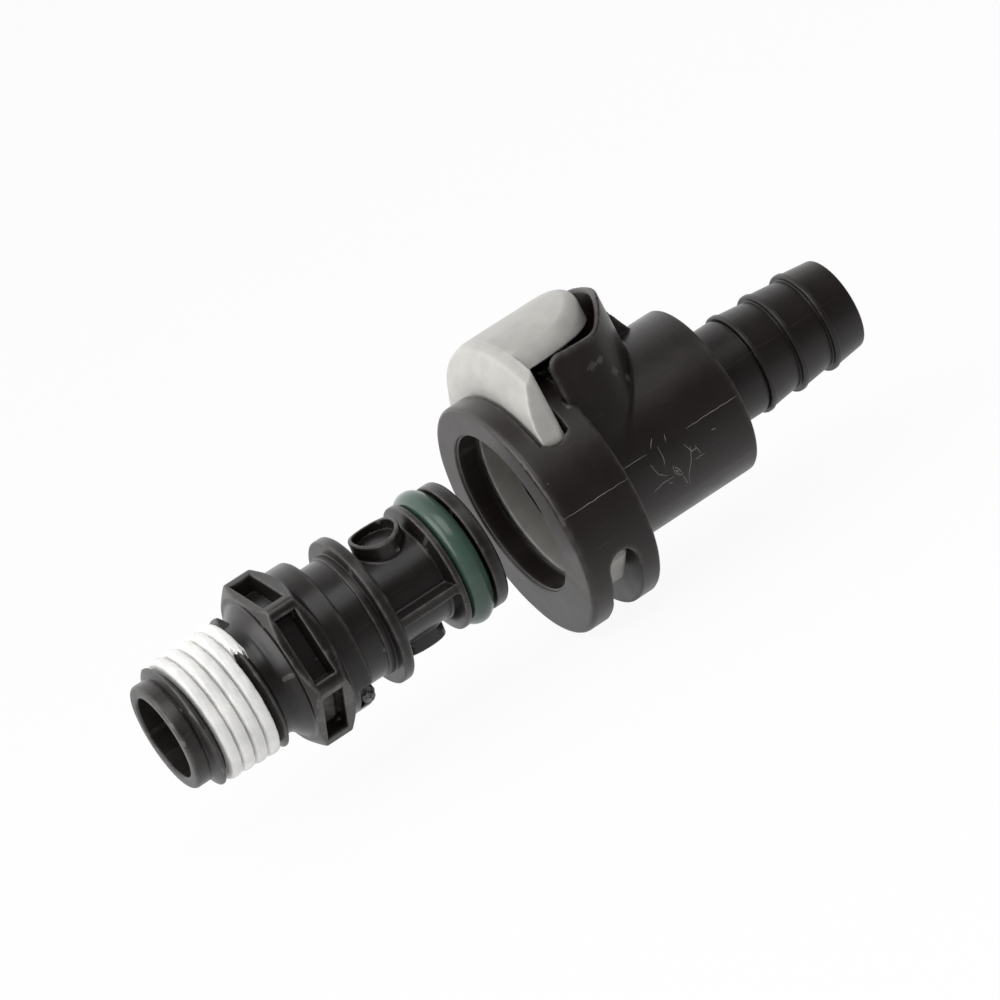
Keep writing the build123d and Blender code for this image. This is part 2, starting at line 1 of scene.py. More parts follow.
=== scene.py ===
"""Render scene of a plastic quick disconnect coupling: a latching body on a hose barb, and its thread insert.

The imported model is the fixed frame. Each moulded piece is worked out again with numpy at a finer grain,
dressed with procedural finishes and laid in the same place. Sizes are in millimetres and become metres in the
mesh.
"""

from __future__ import annotations

import logging
import math
from dataclasses import dataclass, field
from enum import Enum
from typing import Callable, Sequence

import bpy
import numpy as np
from mathutils import Matrix, Vector

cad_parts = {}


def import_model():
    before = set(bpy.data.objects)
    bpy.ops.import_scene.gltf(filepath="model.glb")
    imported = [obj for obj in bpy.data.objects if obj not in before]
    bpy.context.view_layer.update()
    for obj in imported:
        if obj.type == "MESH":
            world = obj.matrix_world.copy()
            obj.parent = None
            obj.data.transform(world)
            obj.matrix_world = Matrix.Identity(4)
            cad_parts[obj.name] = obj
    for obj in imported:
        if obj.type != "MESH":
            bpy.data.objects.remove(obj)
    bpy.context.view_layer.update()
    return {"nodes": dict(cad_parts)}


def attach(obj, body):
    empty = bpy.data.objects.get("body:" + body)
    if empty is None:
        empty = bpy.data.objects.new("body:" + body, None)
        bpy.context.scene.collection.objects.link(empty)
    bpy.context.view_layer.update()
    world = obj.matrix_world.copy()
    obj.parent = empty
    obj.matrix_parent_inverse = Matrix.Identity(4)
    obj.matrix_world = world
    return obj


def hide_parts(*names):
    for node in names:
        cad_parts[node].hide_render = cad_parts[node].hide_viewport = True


LOG = logging.getLogger("coupling")

MM = 0.001
TURN = 2.0 * math.pi
# Radius beyond the axis, where the half section of a solid without a bore ends
PAST_AXIS = -1.0
# Least length that is divided by
TINY = 1e-9
Array = np.ndarray
Color = tuple[float, float, float]


@dataclass(frozen=True)
class Spots:
    """Places in space, as arrays that broadcast together, with their distance from the X axis."""

    x: Array
    y: Array
    z: Array
    radius: Array

    @classmethod
    def of_points(cls, points: Array) -> Spots:
        """The spots of an n by 3 array."""
        return cls(points[:, 0], points[:, 1], points[:, 2], np.hypot(points[:, 1], points[:, 2]))


DistanceField = Callable[[Spots], Array]


class Body(Enum):
    """Bodies of the frame that pieces ride on."""

    COUPLING = "coupling"
    LATCH = "latch"
    INSERT = "insert"


class Slot(Enum):
    """Material slots of the record."""

    BLACK_PLASTIC = "black_plastic"
    GREY_PLASTIC = "grey_plastic"
    GREEN_RUBBER = "green_rubber"
    SEAL_RUBBER = "seal_rubber"
    SEALANT = "sealant"
    SPRING_STEEL = "spring_steel"


# Plane outlines and distances


def rounded_outline(corners: Sequence[tuple[float, float, float]], steps: int = 6) -> tuple[Array, Array]:
    """Closed outline through corners, each given with the radius of its round.

    A corner becomes an arc that touches both of its runs: the arc starts at radius / tan(half the corner's
    angle) from the corner, and its normals turn evenly from one run's normal to the other's.

    Args:
        corners: (along, across, round) for each corner, in order.
        steps: points on each arc.

    Returns:
        The points and their outward normals, both n by 2.
    """
    spots = np.array([corner[:2] for corner in corners], dtype=float)
    area = 0.5 * np.sum(spots[:, 0] * np.roll(spots[:, 1], -1) - np.roll(spots[:, 0], -1) * spots[:, 1])
    side = 1.0 if area > 0 else -1.0
    points: list[Array] = []
    normals: list[Array] = []
    for number, spot in enumerate(spots):
        back = spots[number - 1] - spot
        ahead = spots[(number + 1) % len(spots)] - spot
        back_length, ahead_length = np.hypot(*back), np.hypot(*ahead)
        back_unit, ahead_unit = back / back_length, ahead / ahead_length
        normal_in = side * np.array([-back_unit[1], back_unit[0]])
        normal_out = side * np.array([ahead_unit[1], -ahead_unit[0]])
        cosine = float(np.clip(back_unit @ ahead_unit, -1.0, 1.0))
        half_angle = max(math.acos(cosine) / 2.0, 1e-4)
        reach = min(corners[number][2] / math.tan(half_angle), 0.48 * back_length, 0.48 * ahead_length)
        share = np.linspace(0.0, 1.0, steps)[:, None]
        turn = (1.0 - share) * normal_in + share * normal_out
        turn /= np.maximum(np.linalg.norm(turn, axis=1, keepdims=True), TINY)
        start, end = spot + back_unit * reach, spot + ahead_unit * reach
        bisector = (back_unit + ahead_unit) / max(np.linalg.norm(back_unit + ahead_unit), TINY)
        radius = reach * math.tan(half_angle)
        centre = spot + bisector * (radius / max(math.sin(half_angle), 1e-4))
        outward = spot - centre
        outward /= max(np.linalg.norm(outward), TINY)
        convex = 1.0 if float(outward @ (normal_in + normal_out)) > 0 else -1.0
        arc = centre + convex * radius * turn
        arc[0], arc[-1] = start, end
        points.append(arc)
        normals.append(turn)
    return np.vstack(points), np.vstack(normals)


def outline_distance(along: Array, across: Array, outline: Array) -> Array:
    """Signed distance to a closed outline in its plane, negative inside.

    The distance is the least over the outline's runs, and a sample is inside where a ray from it crosses an
    odd number of runs.

    Args:
        along: first coordinate of the samples.
        across: second coordinate of the samples.
        outline: the outline's points, n by 2.

    Returns:
        The distance of each sample.
    """
    along, across = np.asarray(along), np.asarray(across)
    nearest = np.full(np.broadcast(along, across).shape, np.inf)
    inside = np.zeros(nearest.shape, dtype=bool)
    for start, end in zip(outline, np.roll(outline, -1, axis=0)):
        run = end - start
        length_squared = float(run @ run)
        if length_squared < 1e-12:
            continue
        offset_along, offset_across = along - start[0], across - start[1]
        share = np.clip((offset_along * run[0] + offset_across * run[1]) / length_squared, 0.0, 1.0)
        gap = (offset_along - share * run[0]) ** 2 + (offset_across - share * run[1]) ** 2
        nearest = np.minimum(nearest, gap)
        if abs(run[1]) > 1e-12:
            spans = (start[1] > across) != (end[1] > across)
            inside ^= spans & (offset_along < offset_across * (run[0] / run[1]))
    return np.where(inside, -1.0, 1.0) * np.sqrt(nearest)


def turned(x: Array, radius: Array, corners: Sequence[tuple[float, float, float]]) -> Array:
    """Distance to a turned solid whose half section has these corners (x, radius, round)."""
    return outline_distance(x, radius, rounded_outline(corners, steps=4)[0])


def join(first: Array, second: Array, fillet: float = 0.0) -> Array:
    """Union of two distances, with a hollow round of radius fillet where they meet."""
    if fillet <= 0.0:
        return np.minimum(first, second)
    corner = np.hypot(np.maximum(fillet - first, 0.0), np.maximum(fillet - second, 0.0))
    return np.maximum(fillet, np.minimum(first, second)) - corner


def meet(first: Array, second: Array, edge: float = 0.0) -> Array:
    """What two distances have in common, with its edge rounded to radius edge."""
    if edge <= 0.0:
        return np.maximum(first, second)
    corner = np.hypot(np.maximum(first + edge, 0.0), np.maximum(second + edge, 0.0))
    return np.minimum(-edge, np.maximum(first, second)) + corner


def cut(solid: Array, tool: Array, edge: float = 0.0) -> Array:
    """The solid less the tool, with the edge of the cut rounded."""
    return meet(solid, -tool, edge)


def rolled(spots: Spots, degrees: float) -> tuple[Array, Array]:
    """Sideways and outward coordinates of spots in a frame rolled about the X axis."""
    turn = math.radians(degrees)
    sideways = spots.y * math.cos(turn) + spots.z * math.sin(turn)
    outward = -spots.y * math.sin(turn) + spots.z * math.cos(turn)
    return sideways, outward


def block(first: Array, second: Array, half_first: float, half_second: float) -> Array:
    """Distance to a rectangle about the origin of two coordinates, of these half sides."""
    over_first, over_second = np.abs(first) - half_first, np.abs(second) - half_second
    outside = np.hypot(np.maximum(over_first, 0.0), np.maximum(over_second, 0.0))
    return outside + np.minimum(np.maximum(over_first, over_second), 0.0)


# Surfaces


@dataclass
class Surface:
    """Points, faces and, where they are known exactly, normals of one closed surface, in millimetres."""

    points: Array
    faces: Array
    normals: Array | None = None

    def outward(self) -> Surface:
        """The same surface, turned so that its faces point outwards: its signed volume is then positive."""
        first, second, third, fourth = (self.points[self.faces[:, corner]] for corner in range(4))
        volume = np.einsum("ij,ij->", first, np.cross(second, third))
        volume += np.einsum("ij,ij->", first, np.cross(third, fourth))
        if volume < 0.0:
            self.faces = self.faces[:, ::-1]
        return self

    def to_object(self, name: str) -> bpy.types.Object:
        """Puts the surface into a new mesh object at the origin.

        Args:
            name: the piece's name.

        Returns:
            The linked object.
        """
        mesh = bpy.data.meshes.new(name)
        mesh.vertices.add(len(self.points))
        mesh.vertices.foreach_set("co", (self.points * MM).astype(np.float32).ravel())
        mesh.loops.add(self.faces.size)
        mesh.loops.foreach_set("vertex_index", self.faces.astype(np.int32).ravel())
        mesh.polygons.add(len(self.faces))
        mesh.polygons.foreach_set("loop_start", np.arange(0, self.faces.size, 4, dtype=np.int32))
        mesh.update(calc_edges=True)
        mesh.validate()
        mesh.shade_smooth()
        if self.normals is not None and len(mesh.vertices) == len(self.normals):
            mesh.normals_split_custom_set_from_vertices(self.normals.astype(np.float32))
        piece = bpy.data.objects.new(name, mesh)
        bpy.context.scene.collection.objects.link(piece)
        return piece


def wrapped_faces(rows: int, columns: int, close_rows: bool, close_columns: bool) -> Array:
    """Quads of a grid of points, joined round where a direction is closed."""
    row = np.arange(rows if close_rows else rows - 1)
    column = np.arange(columns if close_columns else columns - 1)
    near, left = np.meshgrid(row, column, indexing="ij")
    far, right = (near + 1) % rows, (left + 1) % columns
    corners = (near * columns + left, near * columns + right, far * columns + right, far * columns + left)
    return np.stack(corners, axis=-1).reshape(-1, 4)


def ring_grid(along: Array, radius: Array, angle: Array) -> Surface:
    """A closed surface of rings, with each point at its place along, radius from and angle round the axis."""
    along, radius, angle = np.broadcast_arrays(along, radius, angle)
    points = np.stack((along, radius * np.cos(angle), radius * np.sin(angle)), axis=-1).reshape(-1, 3)
    return Surface(points, wrapped_faces(*along.shape, True, True)).outward()


def lathe(corners: Sequence[tuple[float, float, float]], segments: int, steps: int = 7) -> Surface:
    """A closed half section carried round the X axis.

    Point (i, j) stands at x_i, radius_i * cos(angle_j), radius_i * sin(angle_j), and its normal turns too.

    Args:
        corners: (x, radius, round) for each corner of the half section.
        segments: steps round the axis.
        steps: points on each round.

    Returns:
        The closed surface.
    """
    outline, outline_normals = rounded_outline(corners, steps)
    angle = np.linspace(0.0, TURN, segments, endpoint=False)
    cosine, sine = np.cos(angle)[None, :], np.sin(angle)[None, :]

    def spin(pairs: Array) -> Array:
        along = np.repeat(pairs[:, :1], segments, axis=1)
        return np.stack((along, pairs[:, 1:] * cosine, pairs[:, 1:] * sine), axis=-1).reshape(-1, 3)

    faces = wrapped_faces(len(outline), segments, True, True)
    return Surface(spin(outline), faces, spin(outline_normals)).outward()


def graded(start: float, stop: float, coarse: float, fine_at: Sequence[float], fine: float) -> Array:
    """Stations from start to stop that crowd together at chosen spots.

    The spacing at a station is fine plus a share of its distance to the nearest spot, at most coarse.

    Args:
        start: first station.
        stop: last station.
        coarse: widest spacing.
        fine_at: where the stations are closest.
        fine: spacing there.

    Returns:
        The stations, rising.
    """
    growth, samples = 0.3, 6000
    walk = np.linspace(start, stop, samples)
    nearest = np.min(np.abs(walk[:, None] - np.array(fine_at)[None, :]), axis=1)
    density = 1.0 / np.minimum(fine + growth * nearest, coarse)
    count = np.concatenate(([0.0], np.cumsum((density[1:] + density[:-1]) / 2 * np.diff(walk))))
    steps = max(int(math.ceil(count[-1])), 2)
    return np.interp(np.linspace(0.0, count[-1], steps + 1), count, walk)


@dataclass
class Ridges:
    """Fine diamond-section ridges laid along paths on a surface, gathered into one surface."""

    points: list[Array] = field(default_factory=list)
    faces: list[Array] = field(default_factory=list)
    count: int = 0

    def lay(self, path: Array, outward: Array, height: float, half_width: float) -> None:
        """Adds a ridge, thinnest at its two ends, which are closed.

        Args:
            path: points on the surface, n by 3.
            outward: unit normals of the surface there, n by 3.
            height: height of the ridge's crest over the path.
            half_width: half the ridge's width.
        """
        run = np.gradient(path, axis=0)
        side = np.cross(run, outward)
        side /= np.maximum(np.linalg.norm(side, axis=1, keepdims=True), TINY)
        share = np.linspace(0.0, 1.0, len(path))[:, None]
        swell = 0.25 + 0.75 * np.sin(math.pi * share) ** 0.5
        corners = (
            path + outward * height * swell,
            path + side * half_width * swell,
            path - outward * height,
            path - side * half_width * swell,
        )
        rows = len(path)
        faces = wrapped_faces(rows, 4, False, True)
        caps = np.array([[3, 2, 1, 0], [4 * rows - 4, 4 * rows - 3, 4 * rows - 2, 4 * rows - 1]])
        if float(np.einsum("ij,ij->", np.cross(side, outward), run)) < 0.0:
            faces, caps = faces[:, ::-1], caps[:, ::-1]
        self.points.append(np.stack(corners, axis=1).reshape(-1, 3))
        self.faces.append(np.vstack((faces, caps)) + self.count)
        self.count += 4 * rows

    def surface(self) -> Surface:
        """All ridges as one surface."""
        return Surface(np.vstack(self.points), np.vstack(self.faces)).outward()


@dataclass
class SampledSolid:
    """A solid given by a distance formula, turned into a surface of quads.

    The formula is sampled on a lattice of three parameters: rings (x, angle, radius) or straight (x, y, z).
    Each lattice cell that the surface passes through gets one point, the mean of where the surface crosses
    the cell's edges, and each lattice edge that is crossed gets one quad. The points then slide along the
    formula's slope until its value is zero, so they lie on the exact surface, and the slope is their normal.
    """

    distance: DistanceField
    first: Array
    second: Array
    third: Array
    rings: bool = True

    def place(self, first: Array, second: Array, third: Array) -> Spots:
        """Spots of lattice parameters."""
        if self.rings:
            return Spots(first, third * np.cos(second), third * np.sin(second), np.abs(third))
        return Spots(first, second, third, np.hypot(second, third))

    def surface(self, relax_rounds: int = 2) -> Surface:
        """Works out the surface.

        Args:
            relax_rounds: how often points are evened out among their neighbours before they settle again.

        Returns:
            The closed surface with exact normals.
        """
        second = np.append(self.second, self.second[0] + TURN) if self.rings else self.second
        lattice = np.meshgrid(self.first, second, self.third, indexing="ij", sparse=True)
        shape = (len(self.first), len(second), len(self.third))
        value = np.array(np.broadcast_to(self.distance(self.place(*lattice)), shape))
        if self.rings:
            value[:, -1] = value[:, 0]
        solid = value < 0.0
        ends = (slice(None, -1), slice(1, None))
        count = sum(solid[i, j, k].astype(np.int8) for i in ends for j in ends for k in ends)
        crossed = (count > 0) & (count < 8)
        number = np.full(crossed.shape, -1, dtype=np.int64)
        number[crossed] = np.arange(int(crossed.sum()))
        points = self._cell_points(value, second, np.nonzero(crossed))
        faces = self._faces(solid, number)
        for _ in range(relax_rounds):
            points = self._settle(self._relax(points, faces))
        points = self._settle(points)
        slope = self._slope(points)
        normals = slope / np.maximum(np.linalg.norm(slope, axis=1, keepdims=True), TINY)
        return Surface(points, faces, normals).outward()

    def _cell_points(self, value: Array, second: Array, cells: tuple[Array, Array, Array]) -> Array:
        """Mean of the surface's crossings with the edges of each crossed cell."""
        axes = (self.first, second, self.third)
        total = np.zeros((len(cells[0]), 3))
        hits = np.zeros(len(cells[0]))
        for axis in range(3):
            others = [other for other in range(3) if other != axis]
            for a in (0, 1):
                for b in (0, 1):
                    near = list(cells)
                    near[others[0]] = near[others[0]] + a
                    near[others[1]] = near[others[1]] + b
                    far = list(near)
                    far[axis] = far[axis] + 1
                    value_near, value_far = value[tuple(near)], value[tuple(far)]
                    crosses = (value_near < 0.0) != (value_far < 0.0)
                    drop = np.where(crosses, value_near - value_far, 1.0)
                    share = np.where(crosses, value_near / drop, 0.0)
                    spot = np.stack([axes[n][near[n]] for n in range(3)], axis=1)
                    spot[:, axis] += share * (axes[axis][far[axis]] - axes[axis][near[axis]])
                    total += np.where(crosses[:, None], spot, 0.0)
                    hits += crosses
        mean = total / hits[:, None]
        spots = self.place(*mean.T)
        return np.stack((spots.x, spots.y, spots.z), axis=1)

    def _faces(self, solid: Array, number: Array) -> Array:
        """One quad round each lattice edge whose ends lie on different sides."""
        quads: list[Array] = []
        for axis in range(3):
            others = [other for other in range(3) if other != axis]
            ahead = [slice(None)] * 3
            ahead[axis] = slice(1, None)
            behind = [slice(None)] * 3
            behind[axis] = slice(None, -1)
            if self.rings:
                # The last angle repeats the first, so edges on it are left to the first
                for part in (ahead, behind):
                    if axis != 1:
                        part[1] = slice(None, -1)
            changes = solid[tuple(ahead)] != solid[tuple(behind)]
            edge = list(np.nonzero(changes))
            leaving = solid[tuple(behind)][tuple(edge)]
            keep = np.ones(len(edge[0]), dtype=bool)
            for other in others:
                if not (self.rings and other == 1):
                    keep &= (edge[other] > 0) & (edge[other] < number.shape[other])
            edge = [part[keep] for part in edge]
            leaving = leaving[keep]
            ring = []
            for a, b in ((-1, -1), (0, -1), (0, 0), (-1, 0)):
                cell = list(edge)
                cell[others[0]] = cell[others[0]] + a
                cell[others[1]] = cell[others[1]] + b
                if self.rings:
                    cell[1] = cell[1] % number.shape[1]
                ring.append(number[tuple(cell)])
            quad = np.stack(ring, axis=1)
            flip = leaving if axis == 1 else ~leaving
            quad[flip] = quad[flip][:, ::-1]
            quads.append(quad)
        return np.vstack(quads)

    def _slope(self, points: Array, step: float = 0.01) -> Array:
        """Slope of the formula, from its values a small step either way along each axis."""
        slope = np.empty_like(points)
        for axis in range(3):
            shift = np.zeros(3)
            shift[axis] = step
            ahead, behind = points + shift, points - shift
            rise = self.distance(Spots.of_points(ahead)) - self.distance(Spots.of_points(behind))
            slope[:, axis] = rise / (2.0 * step)
        return slope

    def _settle(self, points: Array, rounds: int = 2) -> Array:
        """Moves each point down or up the slope by its distance, so that the distance becomes zero."""
        for _ in range(rounds):
            slope = self._slope(points)
            steepness = np.maximum(np.einsum("ij,ij->i", slope, slope), 0.3)
            move = -(self.distance(Spots.of_points(points)) / steepness)[:, None] * slope
            length = np.linalg.norm(move, axis=1, keepdims=True)
            points = points + move * np.minimum(1.0, 0.25 / np.maximum(length, TINY))
        return points

    @staticmethod
    def _relax(points: Array, faces: Array) -> Array:
        """Moves each point halfway to the mean of the points that it shares an edge with."""
        start = faces.ravel()
        end = np.roll(faces, -1, axis=1).ravel()
        ties = np.bincount(start, minlength=len(points)).astype(float)
        mean = np.stack([np.bincount(start, points[end, n], len(points)) for n in range(3)], axis=1)
        mean /= np.maximum(ties, 1.0)[:, None]
        return np.where(ties[:, None] > 0, 0.5 * points + 0.5 * mean, points)


def ripple(first: Array, second: Array, waves: Sequence[tuple[float, float, float]]) -> Array:
    """Smooth irregular variation between -1 and 1: the mean of sines with these (rate, rate, phase)."""
    total = sum(np.sin(a * first + b * second + phase) for a, b, phase in waves)
    return np.asarray(total) / len(waves)


# Shader effects shared by the finishes


class NodeSheet:
    """A small helper that adds and links shader nodes in one tree."""

    def __init__(self, tree: bpy.types.NodeTree) -> None:
        """Keeps the tree that the nodes go into."""
        self.tree = tree

    def add(self, kind: str, **settings: object) -> bpy.types.Node:
        """Adds a node of this kind and sets its properties."""
        node = self.tree.nodes.new(kind)
        for key, value in settings.items():
            setattr(node, key, value)
        return node

    def feed(self, node: bpy.types.Node, **inputs: object) -> bpy.types.Node:
        """Sets or links a node's inputs.

        Args:
            node: the node to feed.
            inputs: a socket to link from, or a plain value, for each input. An input goes by its name, with
                underscores for spaces, or by n and its number.

        Returns:
            The same node.
        """
        for key, value in inputs.items():
            numbered = key[0] == "n" and key[1:].isdigit()
            socket = node.inputs[int(key[1:]) if numbered else key.replace("_", " ")]
            if isinstance(value, bpy.types.NodeSocket):
                self.tree.links.new(value, socket)
            else:
                socket.default_value = value
        return node

    def math(
        self, operation: str, first: object, second: object, third: object = 0.0, clamp: bool = False
    ) -> bpy.types.NodeSocket:
        """Result of a math node."""
        node = self.add("ShaderNodeMath", operation=operation, use_clamp=clamp)
        return self.feed(node, n0=first, n1=second, n2=third).outputs[0]

    def mix_value(self, share: object, first: object, second: object) -> bpy.types.NodeSocket:
        """A number between two others."""
        node = self.add("ShaderNodeMix", data_type="FLOAT")
        return self.feed(node, n0=share, n2=first, n3=second).outputs[0]

    def mix_color(self, share: object, first: object, second: object) -> bpy.types.NodeSocket:
        """A colour between two others."""
        node = self.add("ShaderNodeMix", data_type="RGBA")
        return self.feed(node, n0=share, n6=first, n7=second).outputs[2]

    def ramp(self, value: object, low: float, high: float) -> bpy.types.NodeSocket:
        """A smooth step of value from 0 at low to 1 at high."""
        node = self.add("ShaderNodeMapRange", interpolation_type="SMOOTHSTEP")
        return self.feed(node, n0=value, n1=low, n2=high, n3=0.0, n4=1.0).outputs[0]

    def noise(self, place: object, scale: object, detail: float) -> bpy.types.NodeSocket:
        """Value of a noise texture."""
        node = self.add("ShaderNodeTexNoise")
        return self.feed(node, Vector=place, Scale=scale, Detail=detail).outputs[0]

    def object_place(self) -> bpy.types.NodeSocket:
        """Place on the piece in the object's own coordinates."""
        return self.add("ShaderNodeTexCoord").outputs["Object"]

    def parts(self, vector: object) -> bpy.types.NodeOutputs:
        """The three parts of a vector."""
        return self.feed(self.add("ShaderNodeSeparateXYZ"), Vector=vector).outputs


class SurfaceEffect(Enum):
    """The shared effects, by the names of their groups."""

    GRAIN = "Moulded Grain"
    # Edge wear, also used to paint a highlight along sharp edges
    WEAR_AND_HIGHLIGHT = "Edge Wear And Highlight"
    SCUFFS = "Scuff Marks"
    DUST = "Fine Dust"


@dataclass
class EffectLibrary:
    """Builds each shared shader group once and hands it out."""

    groups: dict[SurfaceEffect, bpy.types.NodeTree] = field(default_factory=dict)

    def place(self, sheet: NodeSheet, effect: SurfaceEffect, **values: float) -> bpy.types.NodeOutputs:
        """Adds an effect's group to a sheet and builds the group at its first use.

        Args:
            sheet: the sheet of the material.
            effect: the effect to add.
            values: the group's inputs.

        Returns:
            The outputs of the new node.
        """
        if effect not in self.groups:
            builders = {
                SurfaceEffect.GRAIN: self._grain,
                SurfaceEffect.WEAR_AND_HIGHLIGHT: self._wear_and_highlight,
                SurfaceEffect.SCUFFS: self._scuffs,
                SurfaceEffect.DUST: self._dust,
            }
            self.groups[effect] = builders[effect]()
        return sheet.feed(sheet.add("ShaderNodeGroup", node_tree=self.groups[effect]), **values).outputs

    @staticmethod
    def _start(
        effect: SurfaceEffect, inputs: Sequence[tuple[str, float]], outputs: Sequence[str]
    ) -> tuple[NodeSheet, bpy.types.NodeOutputs, bpy.types.Node]:
        """A new group with these number inputs and outputs.

        Args:
            effect: the effect that the group makes.
            inputs: name and starting value of each input.
            outputs: name of each output.

        Returns:
            The sheet to add nodes with, the given inputs' sockets and the output node.
        """
        tree = bpy.data.node_groups.new(effect.value, "ShaderNodeTree")
        for label, value in inputs:
            socket = tree.interface.new_socket(label, in_out="INPUT", socket_type="NodeSocketFloat")
            socket.default_value = value
        for label in outputs:
            tree.interface.new_socket(label, in_out="OUTPUT", socket_type="NodeSocketFloat")
        sheet = NodeSheet(tree)
        return sheet, sheet.add("NodeGroupInput").outputs, sheet.add("NodeGroupOutput")

    def _grain(self) -> bpy.types.NodeTree:
        """Fine moulded texture over slow waviness, and a slow change of tone."""
        inputs = (("Scale", 4000.0), ("Waviness", 0.3))
        sheet, given, result = self._start(SurfaceEffect.GRAIN, inputs, ("Height", "Tone"))
        place = sheet.object_place()
        fine, slow = sheet.noise(place, given["Scale"], 3.0), sheet.noise(place, 420.0, 2.0)
        sheet.feed(result, Height=sheet.mix_value(given["Waviness"], fine, slow), Tone=slow)
        return sheet.tree

    def _wear_and_highlight(self) -> bpy.types.NodeTree:
        """Mask of sharp outer edges, broken up by noise, for edge wear and a painted highlight along the
        edges.
        """
        sheet, given, result = self._start(SurfaceEffect.WEAR_AND_HIGHLIGHT, (("Reach", 0.06), ("Breakup", 0.5)), ("Mask",))
        bend = sheet.math("SUBTRACT", sheet.add("ShaderNodeNewGeometry").outputs["Pointiness"], 0.5)
        edge = sheet.math("DIVIDE", bend, given["Reach"], clamp=True)
        noise = sheet.noise(sheet.object_place(), 900.0, 4.0)
        broken = sheet.mix_value(given["Breakup"], 1.0, sheet.ramp(noise, 0.42, 0.62))
        sheet.feed(result, Mask=sheet.math("MULTIPLY", edge, broken, clamp=True))
        return sheet.tree

    def _scuffs(self) -> bpy.types.NodeTree:
        """Fine streaks along two crossing directions, in patches."""
        inputs = (("Turn", 0.6), ("Amount", 0.5))
        sheet, given, result = self._start(SurfaceEffect.SCUFFS, inputs, ("Mask", "Height"))
        place = sheet.object_place()
        tilt = sheet.feed(sheet.add("ShaderNodeCombineXYZ"), X=given["Turn"], Z=given["Turn"]).outputs[0]
        streaks: list[bpy.types.NodeSocket] = []
        for stretch in ((150.0, 6000.0, 5200.0), (7000.0, 170.0, 260.0)):
            mapping = sheet.add("ShaderNodeMapping")
            drawn = sheet.feed(mapping, Vector=place, Rotation=tilt, Scale=stretch).outputs[0]
            streaks.append(sheet.ramp(sheet.noise(drawn, 1.0, 2.0), 0.63, 0.72))
        patches = sheet.ramp(sheet.noise(place, 230.0, 2.0), 0.46, 0.62)
        spread = sheet.math("MULTIPLY", sheet.math("MAXIMUM", *streaks), patches)
        mask = sheet.math("MULTIPLY", spread, given["Amount"], clamp=True)
        sheet.feed(result, Mask=mask, Height=sheet.math("MULTIPLY", mask, -1.0))
        return sheet.tree

    def _dust(self) -> bpy.types.NodeTree:
        """Sparse pale specks, more of them on faces that look up."""
        inputs = (("Scale", 1500.0), ("Amount", 0.5))
        sheet, given, result = self._start(SurfaceEffect.DUST, inputs, ("Mask",))
        place = sheet.object_place()
        specks = sheet.add("ShaderNodeTexVoronoi", feature="F1")
        sheet.feed(specks, Vector=place, Scale=given["Scale"])
        size = sheet.math("MULTIPLY", sheet.ramp(sheet.noise(place, 700.0, 3.0), 0.6, 0.75), 0.16)
        near = sheet.math("LESS_THAN", specks.outputs["Distance"], size)
        facing = sheet.parts(sheet.add("ShaderNodeNewGeometry").outputs["Normal"])
        spread = sheet.math("MULTIPLY", near, sheet.ramp(facing[2], -0.4, 0.7))
        sheet.feed(result, Mask=sheet.math("MULTIPLY", spread, given["Amount"], clamp=True))
        return sheet.tree


# Finishes


